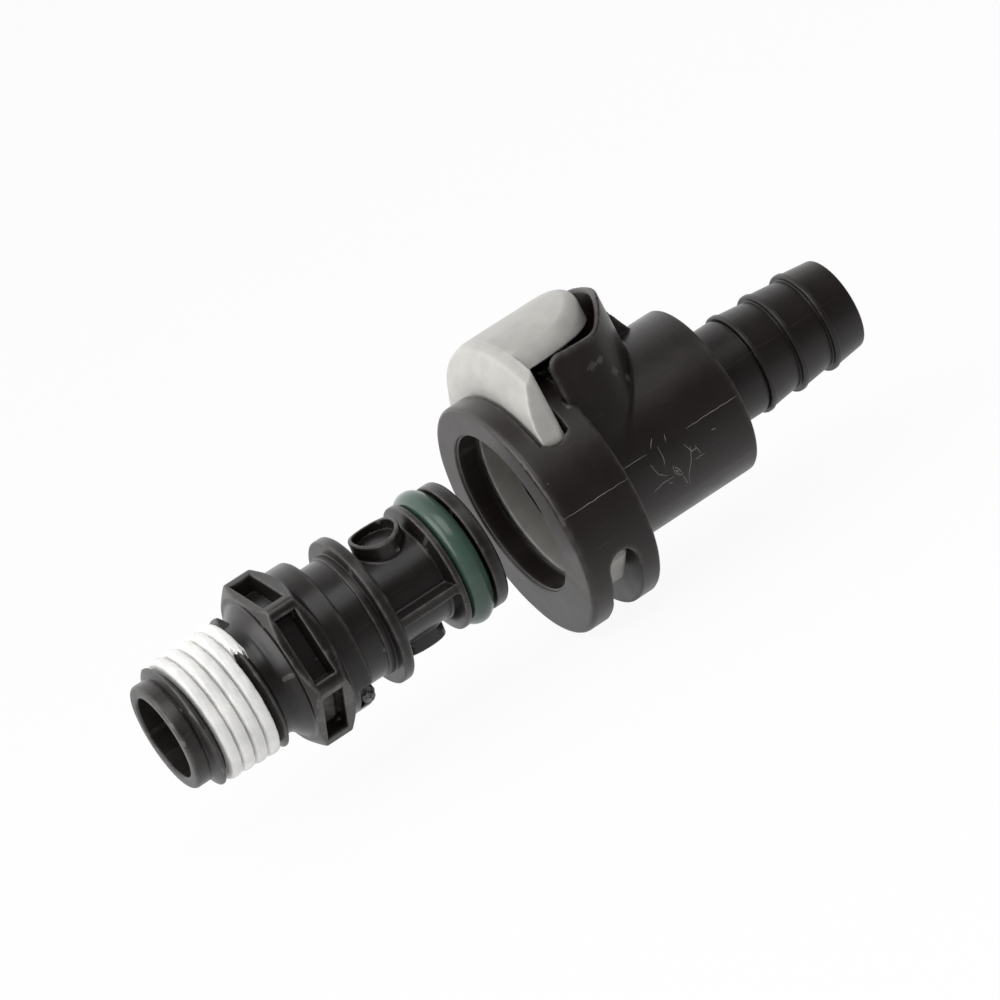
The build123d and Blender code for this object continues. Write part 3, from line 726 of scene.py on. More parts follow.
@dataclass(frozen=True)
class Finish:
    """A moulded or drawn surface: its colours, gloss and the marks on it."""

    name: str
    slot: Slot
    base: Color
    # Tone of scuffs and sharp edges; on the edges it is partly wear and partly a painted highlight
    worn_and_highlight: Color
    roughness: float
    roughness_spread: float = 0.08
    grain_scale: float = 4200.0
    grain_depth: float = 0.004
    waviness: float = 0.35
    # Share of that tone on sharp edges, as wear and as a painted highlight
    edge_wear_and_highlight: float = 0.25
    scuffs: float = 0.3
    dust: float = 0.25
    metallic: float = 0.0
    dust_color: Color = (0.45, 0.44, 0.42)

    def material(self, effects: EffectLibrary) -> bpy.types.Material:
        """Builds the material.

        Base colour goes from the plain tone to the worn one on scuffs and on edges, where it is partly wear
        and partly a painted highlight, and to a pale grey on dust.
        Roughness varies slowly and rises on marks. The grain and the scuffs give the height of the bump.

        Args:
            effects: the shared shader groups.

        Returns:
            The new material.
        """
        material = bpy.data.materials.new(self.name)
        material.use_nodes = True
        material.node_tree.nodes.clear()
        sheet = NodeSheet(material.node_tree)
        grain = effects.place(sheet, SurfaceEffect.GRAIN, Scale=self.grain_scale, Waviness=self.waviness)
        wear_and_highlight = effects.place(sheet, SurfaceEffect.WEAR_AND_HIGHLIGHT)["Mask"]
        scuffs = effects.place(sheet, SurfaceEffect.SCUFFS, Amount=self.scuffs)
        dust = effects.place(sheet, SurfaceEffect.DUST, Amount=self.dust)["Mask"]

        scuffed = sheet.math("MULTIPLY", scuffs["Mask"], 0.5)
        # Sharp edges take the light tone as wear and as a painted highlight, scuffs take it as wear
        marked_and_lit = sheet.math("MAXIMUM", sheet.math("MULTIPLY", wear_and_highlight, self.edge_wear_and_highlight), scuffed, clamp=True)
        tone = sheet.math("MULTIPLY_ADD", grain["Tone"], 0.5, 0.75)
        plain = sheet.feed(sheet.add("ShaderNodeVectorMath", operation="SCALE"), n0=self.base, Scale=tone)
        color = sheet.mix_color(marked_and_lit, plain.outputs[0], (*self.worn_and_highlight, 1.0))
        color = sheet.mix_color(dust, color, (*self.dust_color, 1.0))
        smooth, spread = self.roughness - self.roughness_spread, self.roughness_spread * 2.0
        rough = sheet.math("MULTIPLY_ADD", grain["Tone"], spread, smooth)
        roughest = min(self.roughness + 0.25, 0.95)
        rough = sheet.mix_value(sheet.math("MAXIMUM", marked_and_lit, dust), rough, roughest)
        height = sheet.math("ADD", grain["Height"], sheet.math("MULTIPLY", scuffs["Height"], 0.8))
        bump = sheet.add("ShaderNodeBump")
        sheet.feed(bump, Strength=0.6, Distance=self.grain_depth * MM, Height=height)

        shader = sheet.add("ShaderNodeBsdfPrincipled")
        sheet.feed(shader, Base_Color=color, Metallic=self.metallic, Roughness=rough, Normal=bump.outputs[0])
        sheet.feed(sheet.add("ShaderNodeOutputMaterial"), Surface=shader.outputs[0])
        return material


# The light tones on sharp edges paint wear and, in part, the highlight that the edges catch
BLACK_PLASTIC = Finish(
    "black_moulded_plastic", Slot.BLACK_PLASTIC, base=(0.0140, 0.0092, 0.0080), worn_and_highlight=(0.095, 0.084, 0.080),
    roughness=0.33, grain_depth=0.010, edge_wear_and_highlight=0.8, scuffs=0.35,
)
BARB_PLASTIC = Finish(
    "barb_plastic", Slot.BLACK_PLASTIC, base=(0.0120, 0.0082, 0.0072), worn_and_highlight=(0.07, 0.062, 0.058),
    roughness=0.36, grain_depth=0.008, edge_wear_and_highlight=0.3, scuffs=0.2,
)
INSERT_PLASTIC = Finish(
    "insert_plastic", Slot.BLACK_PLASTIC, base=(0.0115, 0.0088, 0.0080), worn_and_highlight=(0.13, 0.125, 0.12),
    roughness=0.30, grain_depth=0.010, edge_wear_and_highlight=0.9, scuffs=0.3,
)
LATCH_PLASTIC = Finish(
    "latch_grey_plastic", Slot.GREY_PLASTIC, base=(0.445, 0.437, 0.410), worn_and_highlight=(0.68, 0.68, 0.66),
    roughness=0.42, grain_depth=0.012, edge_wear_and_highlight=0.8, scuffs=0.12, dust=0.0,
)
ORING_RUBBER = Finish(
    "oring_green_rubber", Slot.GREEN_RUBBER, base=(0.052, 0.092, 0.072), worn_and_highlight=(0.10, 0.15, 0.13),
    roughness=0.2, grain_depth=0.006, edge_wear_and_highlight=0.0, scuffs=0.15, dust=0.3,
)
SEAL_RUBBER = Finish(
    "flat_seal_rubber", Slot.SEAL_RUBBER, base=(0.012, 0.012, 0.012), worn_and_highlight=(0.05, 0.05, 0.05),
    roughness=0.5,
)
DRIED_SEALANT = Finish(
    "dried_thread_sealant", Slot.SEALANT, base=(0.91, 0.905, 0.885), worn_and_highlight=(0.92, 0.915, 0.90),
    roughness=0.62, roughness_spread=0.1, grain_scale=2600.0, grain_depth=0.045, edge_wear_and_highlight=0.0, scuffs=0.25,
    dust=0.0,
)
# Pale grey on the black flash and burrs: a painted highlight along their thin ridges
BURR_PAINTED_HIGHLIGHT = Finish(
    "burr_flash_painted_highlight", Slot.BLACK_PLASTIC, base=(0.19, 0.18, 0.17), worn_and_highlight=(0.5, 0.49, 0.48),
    roughness=0.3,
)
TORN_PLASTIC = Finish(
    "torn_gate_plastic", Slot.BLACK_PLASTIC, base=(0.045, 0.043, 0.042), worn_and_highlight=(0.3, 0.29, 0.28),
    roughness=0.2, grain_depth=0.03, edge_wear_and_highlight=1.0,
)
SPRING_WIRE = Finish(
    "drawn_spring_wire", Slot.SPRING_STEEL, base=(0.55, 0.55, 0.54), worn_and_highlight=(0.7, 0.7, 0.7),
    roughness=0.28, metallic=1.0, dust=0.0, scuffs=0.1,
)


@dataclass
class Workshop:
    """Turns surfaces into finished pieces: one material per finish, laid on the frame's bodies."""

    effects: EffectLibrary = field(default_factory=EffectLibrary)
    materials: dict[str, bpy.types.Material] = field(default_factory=dict)

    def material(self, finish: Finish) -> bpy.types.Material:
        """The finish's material, built at its first use."""
        if finish.name not in self.materials:
            self.materials[finish.name] = finish.material(self.effects)
        return self.materials[finish.name]

    def lay(
        self, name: str, surface: Surface, finish: Finish, body: Body, replaces: Sequence[str] = ()
    ) -> bpy.types.Object:
        """Makes a piece of a surface, dresses it and lets it ride on its body.

        Args:
            name: the piece's name.
            surface: its surface in millimetres.
            finish: its finish.
            body: the body that it moves with.
            replaces: the CAD nodes that it stands for.

        Returns:
            The new object.
        """
        piece = surface.to_object(name)
        piece.data.materials.append(self.material(finish))
        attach(piece, body.value)
        if replaces:
            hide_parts(*replaces)
        LOG.info("%s: %d faces, rides on %s", name, len(surface.faces), body.value)
        return piece

    def dress_node(self, node: bpy.types.Object, finish: Finish) -> None:
        """Gives a CAD node that stays in view a finish of its own."""
        for material_slot in node.material_slots:
            material_slot.material = self.material(finish)
        if not node.material_slots:
            node.data.materials.append(self.material(finish))
        LOG.info("%s: CAD node dressed as %s", node.name, finish.name)


# Pieces


@dataclass
class CouplingBody:
    """Slotted flange, barrel and thumb guard, moulded in one."""

    mouth_x: float = -23.3
    mouth_round: float = 0.5
    slot_front_x: float = -20.75
    slot_back_x: float = -17.45
    flange_back_x: float = -15.2
    flange_radius: float = 12.7
    flange_drop: float = 0.95
    flange_fillet: float = 0.18
    barrel_start_x: float = -16.1
    barrel_radius: float = 9.08
    back_round: float = 0.25
    clear_x: tuple[float, float] = (-26.0, 2.0)
    mouth_step: tuple[float, float] = (-23.05, 8.8)
    mouth_radius: float = 8.6
    seal_bore: tuple[float, float] = (-15.3, 7.35)
    seat_x: tuple[float, float] = (-4.1, -2.9)
    seat_radius: float = 2.6
    spigot_radius: float = 7.0
    opening_edge: float = 0.16
    channel_half_width: float = 10.15
    window_top_z: float = 6.0
    window_bottom_z: float = -5.9
    guard_centre_x: float = -14.4
    guard_radius: float = 9.0
    guard_wall: float = 0.75
    guard_front_x: float = -15.9
    guard_front_z: float = 13.08
    guard_dip: tuple[float, float] = (-9.4, 12.45)
    guard_rise_end_x: float = -6.2
    guard_past_x: float = -5.0
    guard_back_z: float = 14.9
    guard_rounds: tuple[float, float, float] = (1.6, 2.6, 1.4)
    guard_edge: float = 0.26
    guard_fillet: float = 0.22
    gusset_side: tuple[tuple[float, float], ...] = ((-5.8, 8.4), (-3.3, 8.4), (-5.0, 11.95), (-5.8, 11.95))
    gusset_half: float = 0.5
    gusset_round: float = 0.12
    spring_spot: tuple[float, float, float] = (-12.05, 8.7, 3.1)

    def distance(self, spots: Spots) -> Array:
        """Distance to the moulding: flange, barrel, guard and gusset joined, less its openings."""
        x, y, z = spots.x, spots.y, spots.z
        flange = turned(
            x,
            np.hypot(y, z + self.flange_drop),
            (
                (self.mouth_x, PAST_AXIS, 0.0),
                (self.flange_back_x, PAST_AXIS, 0.0),
                (self.flange_back_x, self.flange_radius, self.back_round),
                (self.mouth_x, self.flange_radius, self.mouth_round),
            ),
        )
        barrel = turned(
            x,
            spots.radius,
            (
                (self.barrel_start_x, PAST_AXIS, 0.0),
                (0.0, PAST_AXIS, 0.0),
                (0.0, self.barrel_radius, self.back_round),
                (self.barrel_start_x, self.barrel_radius, 0.0),
            ),
        )
        solid = join(flange, barrel, self.flange_fillet)
        solid = join(solid, self._guard(x, y, z), self.guard_fillet)
        gusset = outline_distance(x, z, np.array(self.gusset_side))
        gusset = meet(gusset, np.abs(y) - self.gusset_half, self.gusset_round)
        solid = join(solid, gusset, self.gusset_round)
        middle = (self.slot_front_x + self.slot_back_x) / 2.0
        half = (self.slot_back_x - self.slot_front_x) / 2.0
        channel = block(x - middle, y, half, self.channel_half_width)
        for opening in (self._flow_way(spots), channel, self._windows(x - middle, z, half)):
            solid = cut(solid, opening, self.opening_edge)
        spot_x, spot_z, spot_radius = self.spring_spot
        return cut(solid, meet(np.hypot(x - spot_x, y) - spot_radius, spot_z - z), 0.08)

    def _flow_way(self, spots: Spots) -> Array:
        """Distance to the way through the body: mouth, seal bore, valve seat and the barb's spigot hole."""
        before, past = self.clear_x
        step_x, step_radius = self.mouth_step
        bore_x, bore_radius = self.seal_bore
        seat_front, seat_back = self.seat_x
        corners = (
            (before, PAST_AXIS, 0.0),
            (before, step_radius, 0.0),
            (step_x, step_radius, 0.06),
            (step_x, self.mouth_radius, 0.08),
            (self.barrel_start_x, self.mouth_radius, 0.1),
            (bore_x, bore_radius, 0.2),
            (seat_front, bore_radius, 0.1),
            (seat_front, self.seat_radius, 0.1),
            (seat_back, self.seat_radius, 0.1),
            (seat_back, self.spigot_radius, 0.0),
            (past, self.spigot_radius, 0.0),
            (past, PAST_AXIS, 0.0),
        )
        return turned(spots.x, spots.radius, corners)

    def _windows(self, across: Array, z: Array, half: float) -> Array:
        """Distance to the slot's openings through the rim, which end in half rounds at the sides.

        Args:
            across: place along X from the slot's middle.
            z: height.
            half: half the slot's width.

        Returns:
            The distance of each sample.
        """
        above, below = z - self.window_top_z - half, self.window_bottom_z - half - z
        rounds = np.minimum(np.hypot(across, above), np.hypot(across, below)) - half
        return np.where(np.maximum(above, below) > 0.0, np.abs(across) - half, rounds)

    def _guard(self, x: Array, y: Array, z: Array) -> Array:
        """Distance to the guard: a U in plan, cut by the sweep of its rim in side view."""
        middle_radius = self.guard_radius - self.guard_wall / 2.0
        spread = np.where(x > self.guard_centre_x, np.hypot(x - self.guard_centre_x, y), np.abs(y))
        wall = np.abs(spread - middle_radius) - self.guard_wall / 2.0
        rise_round, dip_round, front_round = self.guard_rounds
        corners = (
            (self.guard_front_x, 0.0, 0.0),
            (self.guard_past_x, 0.0, 0.0),
            (self.guard_past_x, self.guard_back_z, 0.0),
            (self.guard_rise_end_x, self.guard_back_z, rise_round),
            (*self.guard_dip, dip_round),
            (self.guard_front_x, self.guard_front_z, front_round),
        )
        rim = rounded_outline(corners, steps=9)[0]
        return meet(wall, outline_distance(x, z, rim), self.guard_edge)

    def build(self, workshop: Workshop) -> None:
        """Makes the moulding and lays it in place of the CAD body."""
        stations = graded(-23.6, 0.3, 0.42, (-23.2, -20.75, -17.45, -15.2, -5.8, -4.1, -2.9, 0.0), 0.1)
        radii = graded(2.3, 16.6, 0.32, (2.6, 7.0, 7.35, 8.6, 8.95, 9.08, 12.7), 0.11)
        angles = np.linspace(0.0, TURN, 288, endpoint=False)
        surface = SampledSolid(self.distance, stations, angles, radii).surface()
        workshop.lay("body_moulding", surface, BLACK_PLASTIC, Body.COUPLING, ("coupling_body",))


@dataclass
class HoseBarb:
    """Stem with three lips that hold a hose."""

    stop_x: float = 0.0
    stem_radius: float = 5.15
    stem_length: float = 4.65
    groove_length: float = 0.25
    root_radius: float = 4.9
    lip_radius: float = 5.4
    bead_radius: float = 5.46
    bead_length: float = 0.56
    pitch: float = 4.0
    lips: int = 3
    bore_radius: float = 3.7
    chamber_end_x: float = 6.4
    chamber_radius: float = 4.2
    spigot_x: float = -2.9
    spigot_radius: float = 7.0

    def tip_x(self) -> float:
        """Place of the barb's tip."""
        return self.stem_length + self.lips * self.pitch

    def corners(self) -> list[tuple[float, float, float]]:
        """Half section: bore, valve chamber, spigot, stem, then one lip and one slope for each barb."""
        groove_x = self.stem_length - self.groove_length
        outline = [
            (self.tip_x(), self.bore_radius, 0.35),
            (self.chamber_end_x, self.bore_radius, 0.1),
            (self.chamber_end_x, self.chamber_radius, 0.08),
            (self.spigot_x, self.chamber_radius, 0.08),
            (self.spigot_x, self.spigot_radius, 0.08),
            (self.stop_x, self.spigot_radius, 0.08),
            (self.stop_x, self.stem_radius, 0.12),
            (groove_x, self.stem_radius, 0.08),
            (groove_x, self.root_radius, 0.06),
        ]
        for lip in range(self.lips):
            lip_x = self.stem_length + lip * self.pitch
            bead_x = lip_x + self.bead_length
            outline += [
                (lip_x, self.root_radius, 0.1),
                (lip_x, self.bead_radius, 0.22),
                (bead_x, self.bead_radius, 0.2),
                (bead_x + 0.03, self.lip_radius - 0.1, 0.05),
            ]
        return [*outline, (self.tip_x(), self.root_radius, 0.3)]

    def build(self, workshop: Workshop) -> None:
        """Turns the barb and lays it in place of the CAD barb."""
        surface = lathe(self.corners(), segments=224)
        workshop.lay("barb_moulding", surface, BARB_PLASTIC, Body.COUPLING, ("hose_barb",))


@dataclass
class MouldMarks:
    """Flash along the mould's parting line and the burrs that a knock raised on the barrel.

    Each burr runs through (x, angle in degrees round the axis) spots on the barrel's near side.
    """

    body: CouplingBody
    barb: HoseBarb
    flash_size: tuple[float, float] = (0.022, 0.035)
    burr_size: tuple[float, float] = (0.04, 0.042)
    barb_flash_size: tuple[float, float] = (0.02, 0.035)
    barb_flash_angles: tuple[float, float] = (161.0, 341.0)
    burrs: tuple[tuple[tuple[float, float], ...], ...] = (
        ((-10.1, 173.5), (-10.7, 178.6)),
        ((-10.0, 179.3), (-9.95, 187.8), (-10.1, 192.2)),
        ((-8.8, 175.8), (-9.0, 180.2)),
        ((-11.5, 186.7), (-11.1, 195.4), (-10.2, 200.3)),
        ((-12.2, 204.7), (-10.9, 202.5), (-9.6, 203.1)),
        ((-9.4, 195.9), (-9.45, 201.0), (-9.0, 204.7), (-8.6, 204.5)),
        ((-9.3, 197.5), (-9.0, 199.2), (-8.8, 202.5), (-9.2, 203.0)),
        ((-8.8, 204.9), (-8.4, 214.0)),
        ((-7.0, 191.0), (-7.3, 198.4), (-8.1, 208.2), (-8.2, 216.2)),
        ((-7.5, 187.6), (-7.0, 194.5), (-6.4, 194.4)),
        ((-6.5, 192.4), (-6.2, 199.0)),
        ((-7.0, 200.8), (-5.8, 200.7)),
        ((-4.3, 189.6), (-3.8, 190.3)),
        ((-9.3, 199.6), (-9.15, 202.3)),
        ((-9.2, 200.2), (-9.0, 201.6)),
        ((-10.4, 204.9), (-9.9, 206.6)),
    )

    @staticmethod
    def on_drum(x: Array, radius: Array, angle: Array) -> tuple[Array, Array]:
        """Points at these places round the axis, and their outward directions."""
        outward = np.stack((0.0 * angle, np.cos(angle), np.sin(angle)), axis=1)
        return np.stack((x, radius * np.cos(angle), radius * np.sin(angle)), axis=1), outward

    def parting_line(self, ridges: Ridges, side: float) -> None:
        """Lays the flash on flange and barrel, a little unsteady and broken at the burrs.

        Args:
            ridges: where it goes.
            side: 1 for the +Y side and -1 for the other.
        """
        flange_y = math.sqrt(self.body.flange_radius**2 - self.body.flange_drop**2)
        barrel = self.body.barrel_radius
        runs = [(-22.9, -15.4, flange_y)]
        runs += [(-15.0, -11.3, barrel), (-6.6, -0.4, barrel)] if side < 0.0 else [(-15.0, -0.4, barrel)]
        for start, stop, out in runs:
            x = np.linspace(start, stop, 60)
            z = 0.05 * ripple(x, 0.0 * x, ((1.3, 0.0, 0.4), (3.1, 0.0, 2.0), (5.3, 0.0, 1.1)))
            outward = np.tile(np.array([0.0, side, 0.0]), (len(x), 1))
            ridges.lay(np.stack((x, side * out + 0.0 * x, z), axis=1), outward, *self.flash_size)

    def barb_line(self, ridges: Ridges, angle: float) -> None:
        """Lays the flash along the barb's stem and lips at this angle round the axis."""
        barb = self.barb
        spots = [(0.3, barb.stem_radius), (barb.stem_length - 0.4, barb.stem_radius)]
        for lip in range(barb.lips):
            lip_x = barb.stem_length + lip * barb.pitch
            spots += [
                (lip_x + 0.25, barb.bead_radius),
                (lip_x + 0.4, barb.bead_radius),
                (lip_x + barb.bead_length + 0.1, barb.lip_radius - 0.11),
                (lip_x + barb.pitch - 0.15, barb.root_radius + 0.01),
            ]
        x = np.linspace(0.3, barb.tip_x() - 0.4, 240)
        radius = np.interp(x, *np.array(spots).T)
        ridges.lay(*self.on_drum(x, radius, np.full_like(x, angle)), *self.barb_flash_size)

    def build(self, workshop: Workshop) -> None:
        """Lays flash and burrs on the body and the barb."""
        flash = Ridges()
        for side in (-1.0, 1.0):
            self.parting_line(flash, side)
        for burr in self.burrs:
            spots = np.array(burr)
            share = np.linspace(0.0, len(burr) - 1.0, 12 * len(burr))
            x = np.interp(share, np.arange(len(burr)), spots[:, 0])
            angle = np.radians(np.interp(share, np.arange(len(burr)), spots[:, 1]))
            angle = angle + 0.006 * ripple(share * 9.0, x, ((1.0, 3.0, 0.0), (2.3, 1.0, 1.0)))
            radius = np.full_like(x, self.body.barrel_radius)
            flash.lay(*self.on_drum(x, radius, angle), *self.burr_size)
        # The flash and burrs are coloured pale grey to paint the highlight along their ridges
        workshop.lay("body_flash_and_burrs", flash.surface(), BURR_PAINTED_HIGHLIGHT, Body.COUPLING)
        seam = Ridges()
        for degrees in self.barb_flash_angles:
            self.barb_line(seam, math.radians(degrees))
        workshop.lay("barb_flash", seam.surface(), BARB_PLASTIC, Body.COUPLING)


@dataclass
class ThumbLatch:
    """Sliding plate with a round hole and a hollow thumb button behind it."""

    front_x: float = -20.4
    back_x: float = -17.7
    front_round: float = 0.5
    back_round: float = 0.9
    plate_edge: float = 0.16
    half_width: float = 9.95
    top_radius: float = 16.2
    past_top_z: float = 20.0
    bottom_z: float = -9.6
    corner_z: float = -6.9
    corner_width: float = 3.4
    hole_radius: float = 8.6
    nose_radius: float = 13.35
    nose_top_radius: float = 15.72
    nose_length: float = 1.25
    fall_x: float = -17.4
    fall: float = 0.13
    button_centre_x: float = -15.15
    button_half_width: float = 7.75
    button_bottom_z: float = 12.8
    button_wall: float = 1.3
    button_round: float = 1.2
    peg_x: float = -12.05
    peg_radius: float = 1.7
    peg_z: tuple[float, float] = (13.6, 15.5)

    def distance(self, spots: Spots) -> Array:
        """Distance to the latch: plate, button and spring peg joined, less the button's hollow."""
        x, y, z = spots.x, spots.y, spots.z
        drum = spots.radius - self.top_radius + self.fall * np.maximum(self.fall_x - x, 0.0) ** 2
        spread = np.where(x > self.button_centre_x, np.hypot(x - self.button_centre_x, y), np.abs(y))
        cap = np.maximum(spread - self.button_half_width, self.front_x + self.nose_length + 0.3 - x)
        button = meet(meet(cap, drum, self.button_round), self.button_bottom_z - z, 0.2)
        solid = join(self._plate(spots, drum), button, 0.1)
        hollow = np.maximum(spread - self.button_half_width, self.back_x - x)
        solid = cut(solid, np.maximum(hollow, drum) + self.button_wall, 0.15)
        low_z, high_z = self.peg_z
        peg = np.maximum(np.hypot(x - self.peg_x, y) - self.peg_radius, np.maximum(low_z - z, z - high_z))
        return join(solid, peg, 0.2)

    def _plate(self, spots: Spots, drum: Array) -> Array:
        """Distance to the plate: its outline under the drum, less the round hole and the sloped nose.

        Args:
            spots: the samples.
            drum: their distance to the drum that plate and button end in.

        Returns:
            The distance of each sample.
        """
        low = self.half_width - self.corner_width
        side = ((self.half_width, self.past_top_z), (self.half_width, self.corner_z), (low, self.bottom_z))
        outline = np.array([(-y, z) for y, z in side] + list(side[::-1]))
        sheet = outline_distance(spots.y, spots.z, outline)
        slope = math.atan2(self.nose_top_radius - self.nose_radius, self.nose_length)
        nose = (spots.radius - self.nose_radius) * math.cos(slope)
        nose = nose - (spots.x - self.front_x) * math.sin(slope)
        top = meet(meet(drum, nose, self.plate_edge), self.front_x - spots.x, self.front_round)
        plate = meet(meet(sheet, spots.x - self.back_x, self.back_round), top, self.plate_edge)
        return cut(plate, spots.radius - self.hole_radius, 0.15)

    def build(self, workshop: Workshop) -> None:
        """Makes the latch and lays it in place of the CAD latch."""
        stations = graded(-20.7, -7.1, 0.3, (-20.4, -19.2, -17.7), 0.1)
        widths = graded(-10.3, 10.3, 0.3, (-9.95, -7.75, 7.75, 9.95), 0.1)
        heights = graded(-9.9, 16.5, 0.3, (-9.6, 12.8, 14.9, 16.0), 0.1)
        surface = SampledSolid(self.distance, stations, widths, heights, rings=False).surface()
        workshop.lay("latch_moulding", surface, LATCH_PLASTIC, Body.LATCH, ("thumb_latch",))


@dataclass(frozen=True)
class PipeThread:
    """Taper pipe thread as a height over position along and round the axis."""

    start_x: float = -61.68
    lead_x: float = -62.3
    end_x: float = -53.0
    start_radius: float = 6.64
    taper: float = 1.0 / 32.0
    pitch: float = 1.411
    depth: float = 0.98
    first_turn: float = -0.6
    last_turn: float = 5.74

    def crest(self, x: Array) -> Array:
        """Crest radius, which grows evenly along the taper."""
        return self.start_radius + (x - self.start_x) * self.taper

    def turns(self, x: Array, angle: Array) -> Array:
        """Turns of the helix from the thread's start to a spot: x over pitch, less the turn of the angle."""
        return (x - self.start_x) / self.pitch - angle / TURN

    def across(self, x: Array, angle: Array) -> Array:
        """How far a spot lies from the middle of its crest: 0 on the crest and 1 in the root."""
        phase = self.turns(x, angle)
        return np.abs(2.0 * (phase - np.floor(phase)) - 1.0)

    def length(self, x: Array, angle: Array) -> Array:
        """Length in turns along the helix of the crest that a spot lies on."""
        return np.floor(self.turns(x, angle)) + 0.5 + angle / TURN

    def radius(self, x: Array, angle: Array) -> Array:
        """Radius of the flanks: crest less depth times a rounded trapezoid, and the root past either end."""
        share = np.clip((self.across(x, angle) - 0.12) / 0.80, 0.0, 1.0)
        share = share * share * (3.0 - 2.0 * share) * 0.35 + share * 0.65
        length = self.length(x, angle)
        run_in = np.clip((self.first_turn - length) / 0.12, 0.0, 1.0)
        run_out = np.clip((length - self.last_turn) / 0.03, 0.0, 1.0)
        return self.crest(x) - self.depth * np.maximum(share, np.maximum(run_in, run_out))


@dataclass
class ThreadAdapter:
    """Threaded end with its pilot, and the cored hexagon with its skirt."""

    thread: PipeThread = PipeThread()
    mouth_x: float = -63.95
    mouth_rounds: tuple[float, float] = (0.28, 0.42)
    bore_radius: float = 4.35
    bore_overlap_x: float = -57.0
    pilot_radius: float = 5.65
    lead_slope: float = 2.6
    lead_groove: float = 0.2
    neck_start_x: float = -54.82
    neck_end_x: float = -52.95
    neck_radius: float = 6.0
    cone_end: tuple[float, float] = (-51.4, 7.6)
    hex_back_x: float = -51.65
    hex_front_x: float = -47.25
    hex_half: float = 7.9375
    hex_end_radius: float = 7.9
    hex_corner_radius: float = 9.3
    hex_chamfers: tuple[float, float] = (0.86, 0.95)
    skirt_end_x: float = -45.0
    skirt_radius: float = 7.95
    socket_x: float = -47.55
    socket_radius: float = 6.2
    past_x: float = -43.0
    roll: float = 15.0
    pocket_x: float = -49.6
    pocket_half: tuple[float, float] = (1.15, 3.5)
    pocket_draft: float = 0.16
    pocket_depth: float = 1.7
    gate_angle: float = 140.0
    gate_recess_x: float = -45.4
    gate_recess_half: tuple[float, float] = (1.2, 1.7)
    gate_recess_floor: float = 7.25
    gate_stub_x: float = -45.75
    gate_stub_floor: float = 7.3

    def threaded_end(self) -> Surface:
        """Thread, pilot and bore as one closed grid of rings.

        Each ring is a half section at one angle: in by the bore, round the mouth, up the pilot, along the
        thread's height and down the end face to the bore again.

        Returns:
            The closed surface.
        """
        thread = self.thread
        angle = np.linspace(0.0, TURN, 200, endpoint=False)[None, :]
        run_x = np.linspace(thread.lead_x - 0.25, thread.end_x, 210)[:, None]
        lead = self.pilot_radius + (run_x - thread.lead_x) * self.lead_slope
        groove = self.lead_groove * np.exp(-(((run_x - thread.lead_x + 0.02) / 0.12) ** 2))
        height = np.maximum(np.minimum(thread.radius(run_x, angle), lead), self.pilot_radius - groove)
        pilot_end_x = thread.lead_x - 0.3
        inner_round, outer_round = self.mouth_rounds
        corners = (
            (thread.lead_x, self.bore_radius, 0.0),
            (self.mouth_x, self.bore_radius, inner_round),
            (self.mouth_x, self.pilot_radius, outer_round),
            (pilot_end_x, self.pilot_radius, 0.0),
        )
        # Only the two rounds of the mouth are kept of this outline
        steps = 8
        mouth = rounded_outline(corners, steps)[0][steps : 3 * steps]
        front_x = np.concatenate(([thread.end_x, -58.0], mouth[:, 0], [pilot_end_x]))[:, None]
        front_radius = np.concatenate(([self.bore_radius] * 2, mouth[:, 1], [self.pilot_radius]))[:, None]
        end = height[-1:, :]
        end_x = thread.end_x + np.array([[0.03], [0.05], [0.05]])
        end_radius = np.vstack((end - 0.03, end - 0.1, np.full_like(end, self.bore_radius + 0.02)))
        along = np.vstack((front_x, run_x, end_x))
        radius = np.vstack((front_radius * np.ones_like(angle), height, end_radius))
        return ring_grid(along, radius, angle)

    def distance(self, spots: Spots) -> Array:
        """Distance to the neck, cone, cored hexagon and skirt, less the gate recess and the bore."""
        x, radius = spots.x, spots.radius
        cone_x, cone_radius = self.cone_end
        stem = turned(
            x,
            radius,
            (
                (self.neck_start_x, PAST_AXIS, 0.0),
                (self.neck_start_x, self.neck_radius, 0.05),
                (self.neck_end_x, self.neck_radius, 1.1),
                (cone_x, cone_radius, 0.1),
                (cone_x + 0.8, self.neck_radius, 0.0),
                (self.hex_front_x + 0.1, self.neck_radius, 0.1),
                (self.hex_front_x - 0.2, self.skirt_radius, 0.1),
                (self.skirt_end_x, self.skirt_radius, 0.35),
                (self.skirt_end_x, PAST_AXIS, 0.0),
            ),
        )
        solid = join(self._hexagon(spots), stem, 0.12)
        gate_side, gate_out = rolled(spots, self.gate_angle)
        recess = block(x - self.gate_recess_x, gate_side, *self.gate_recess_half)
        solid = cut(solid, np.maximum(recess, self.gate_recess_floor - gate_out), 0.1)
        bore = turned(
            x,
            radius,
            (
                (self.bore_overlap_x, PAST_AXIS, 0.0),
                (self.bore_overlap_x, self.bore_radius, 0.0),
                (self.socket_x, self.bore_radius, 0.1),
                (self.socket_x, self.socket_radius, 0.1),
                (self.past_x, self.socket_radius, 0.0),
                (self.past_x, PAST_AXIS, 0.0),
            ),
        )
        return cut(solid, bore, 0.1)

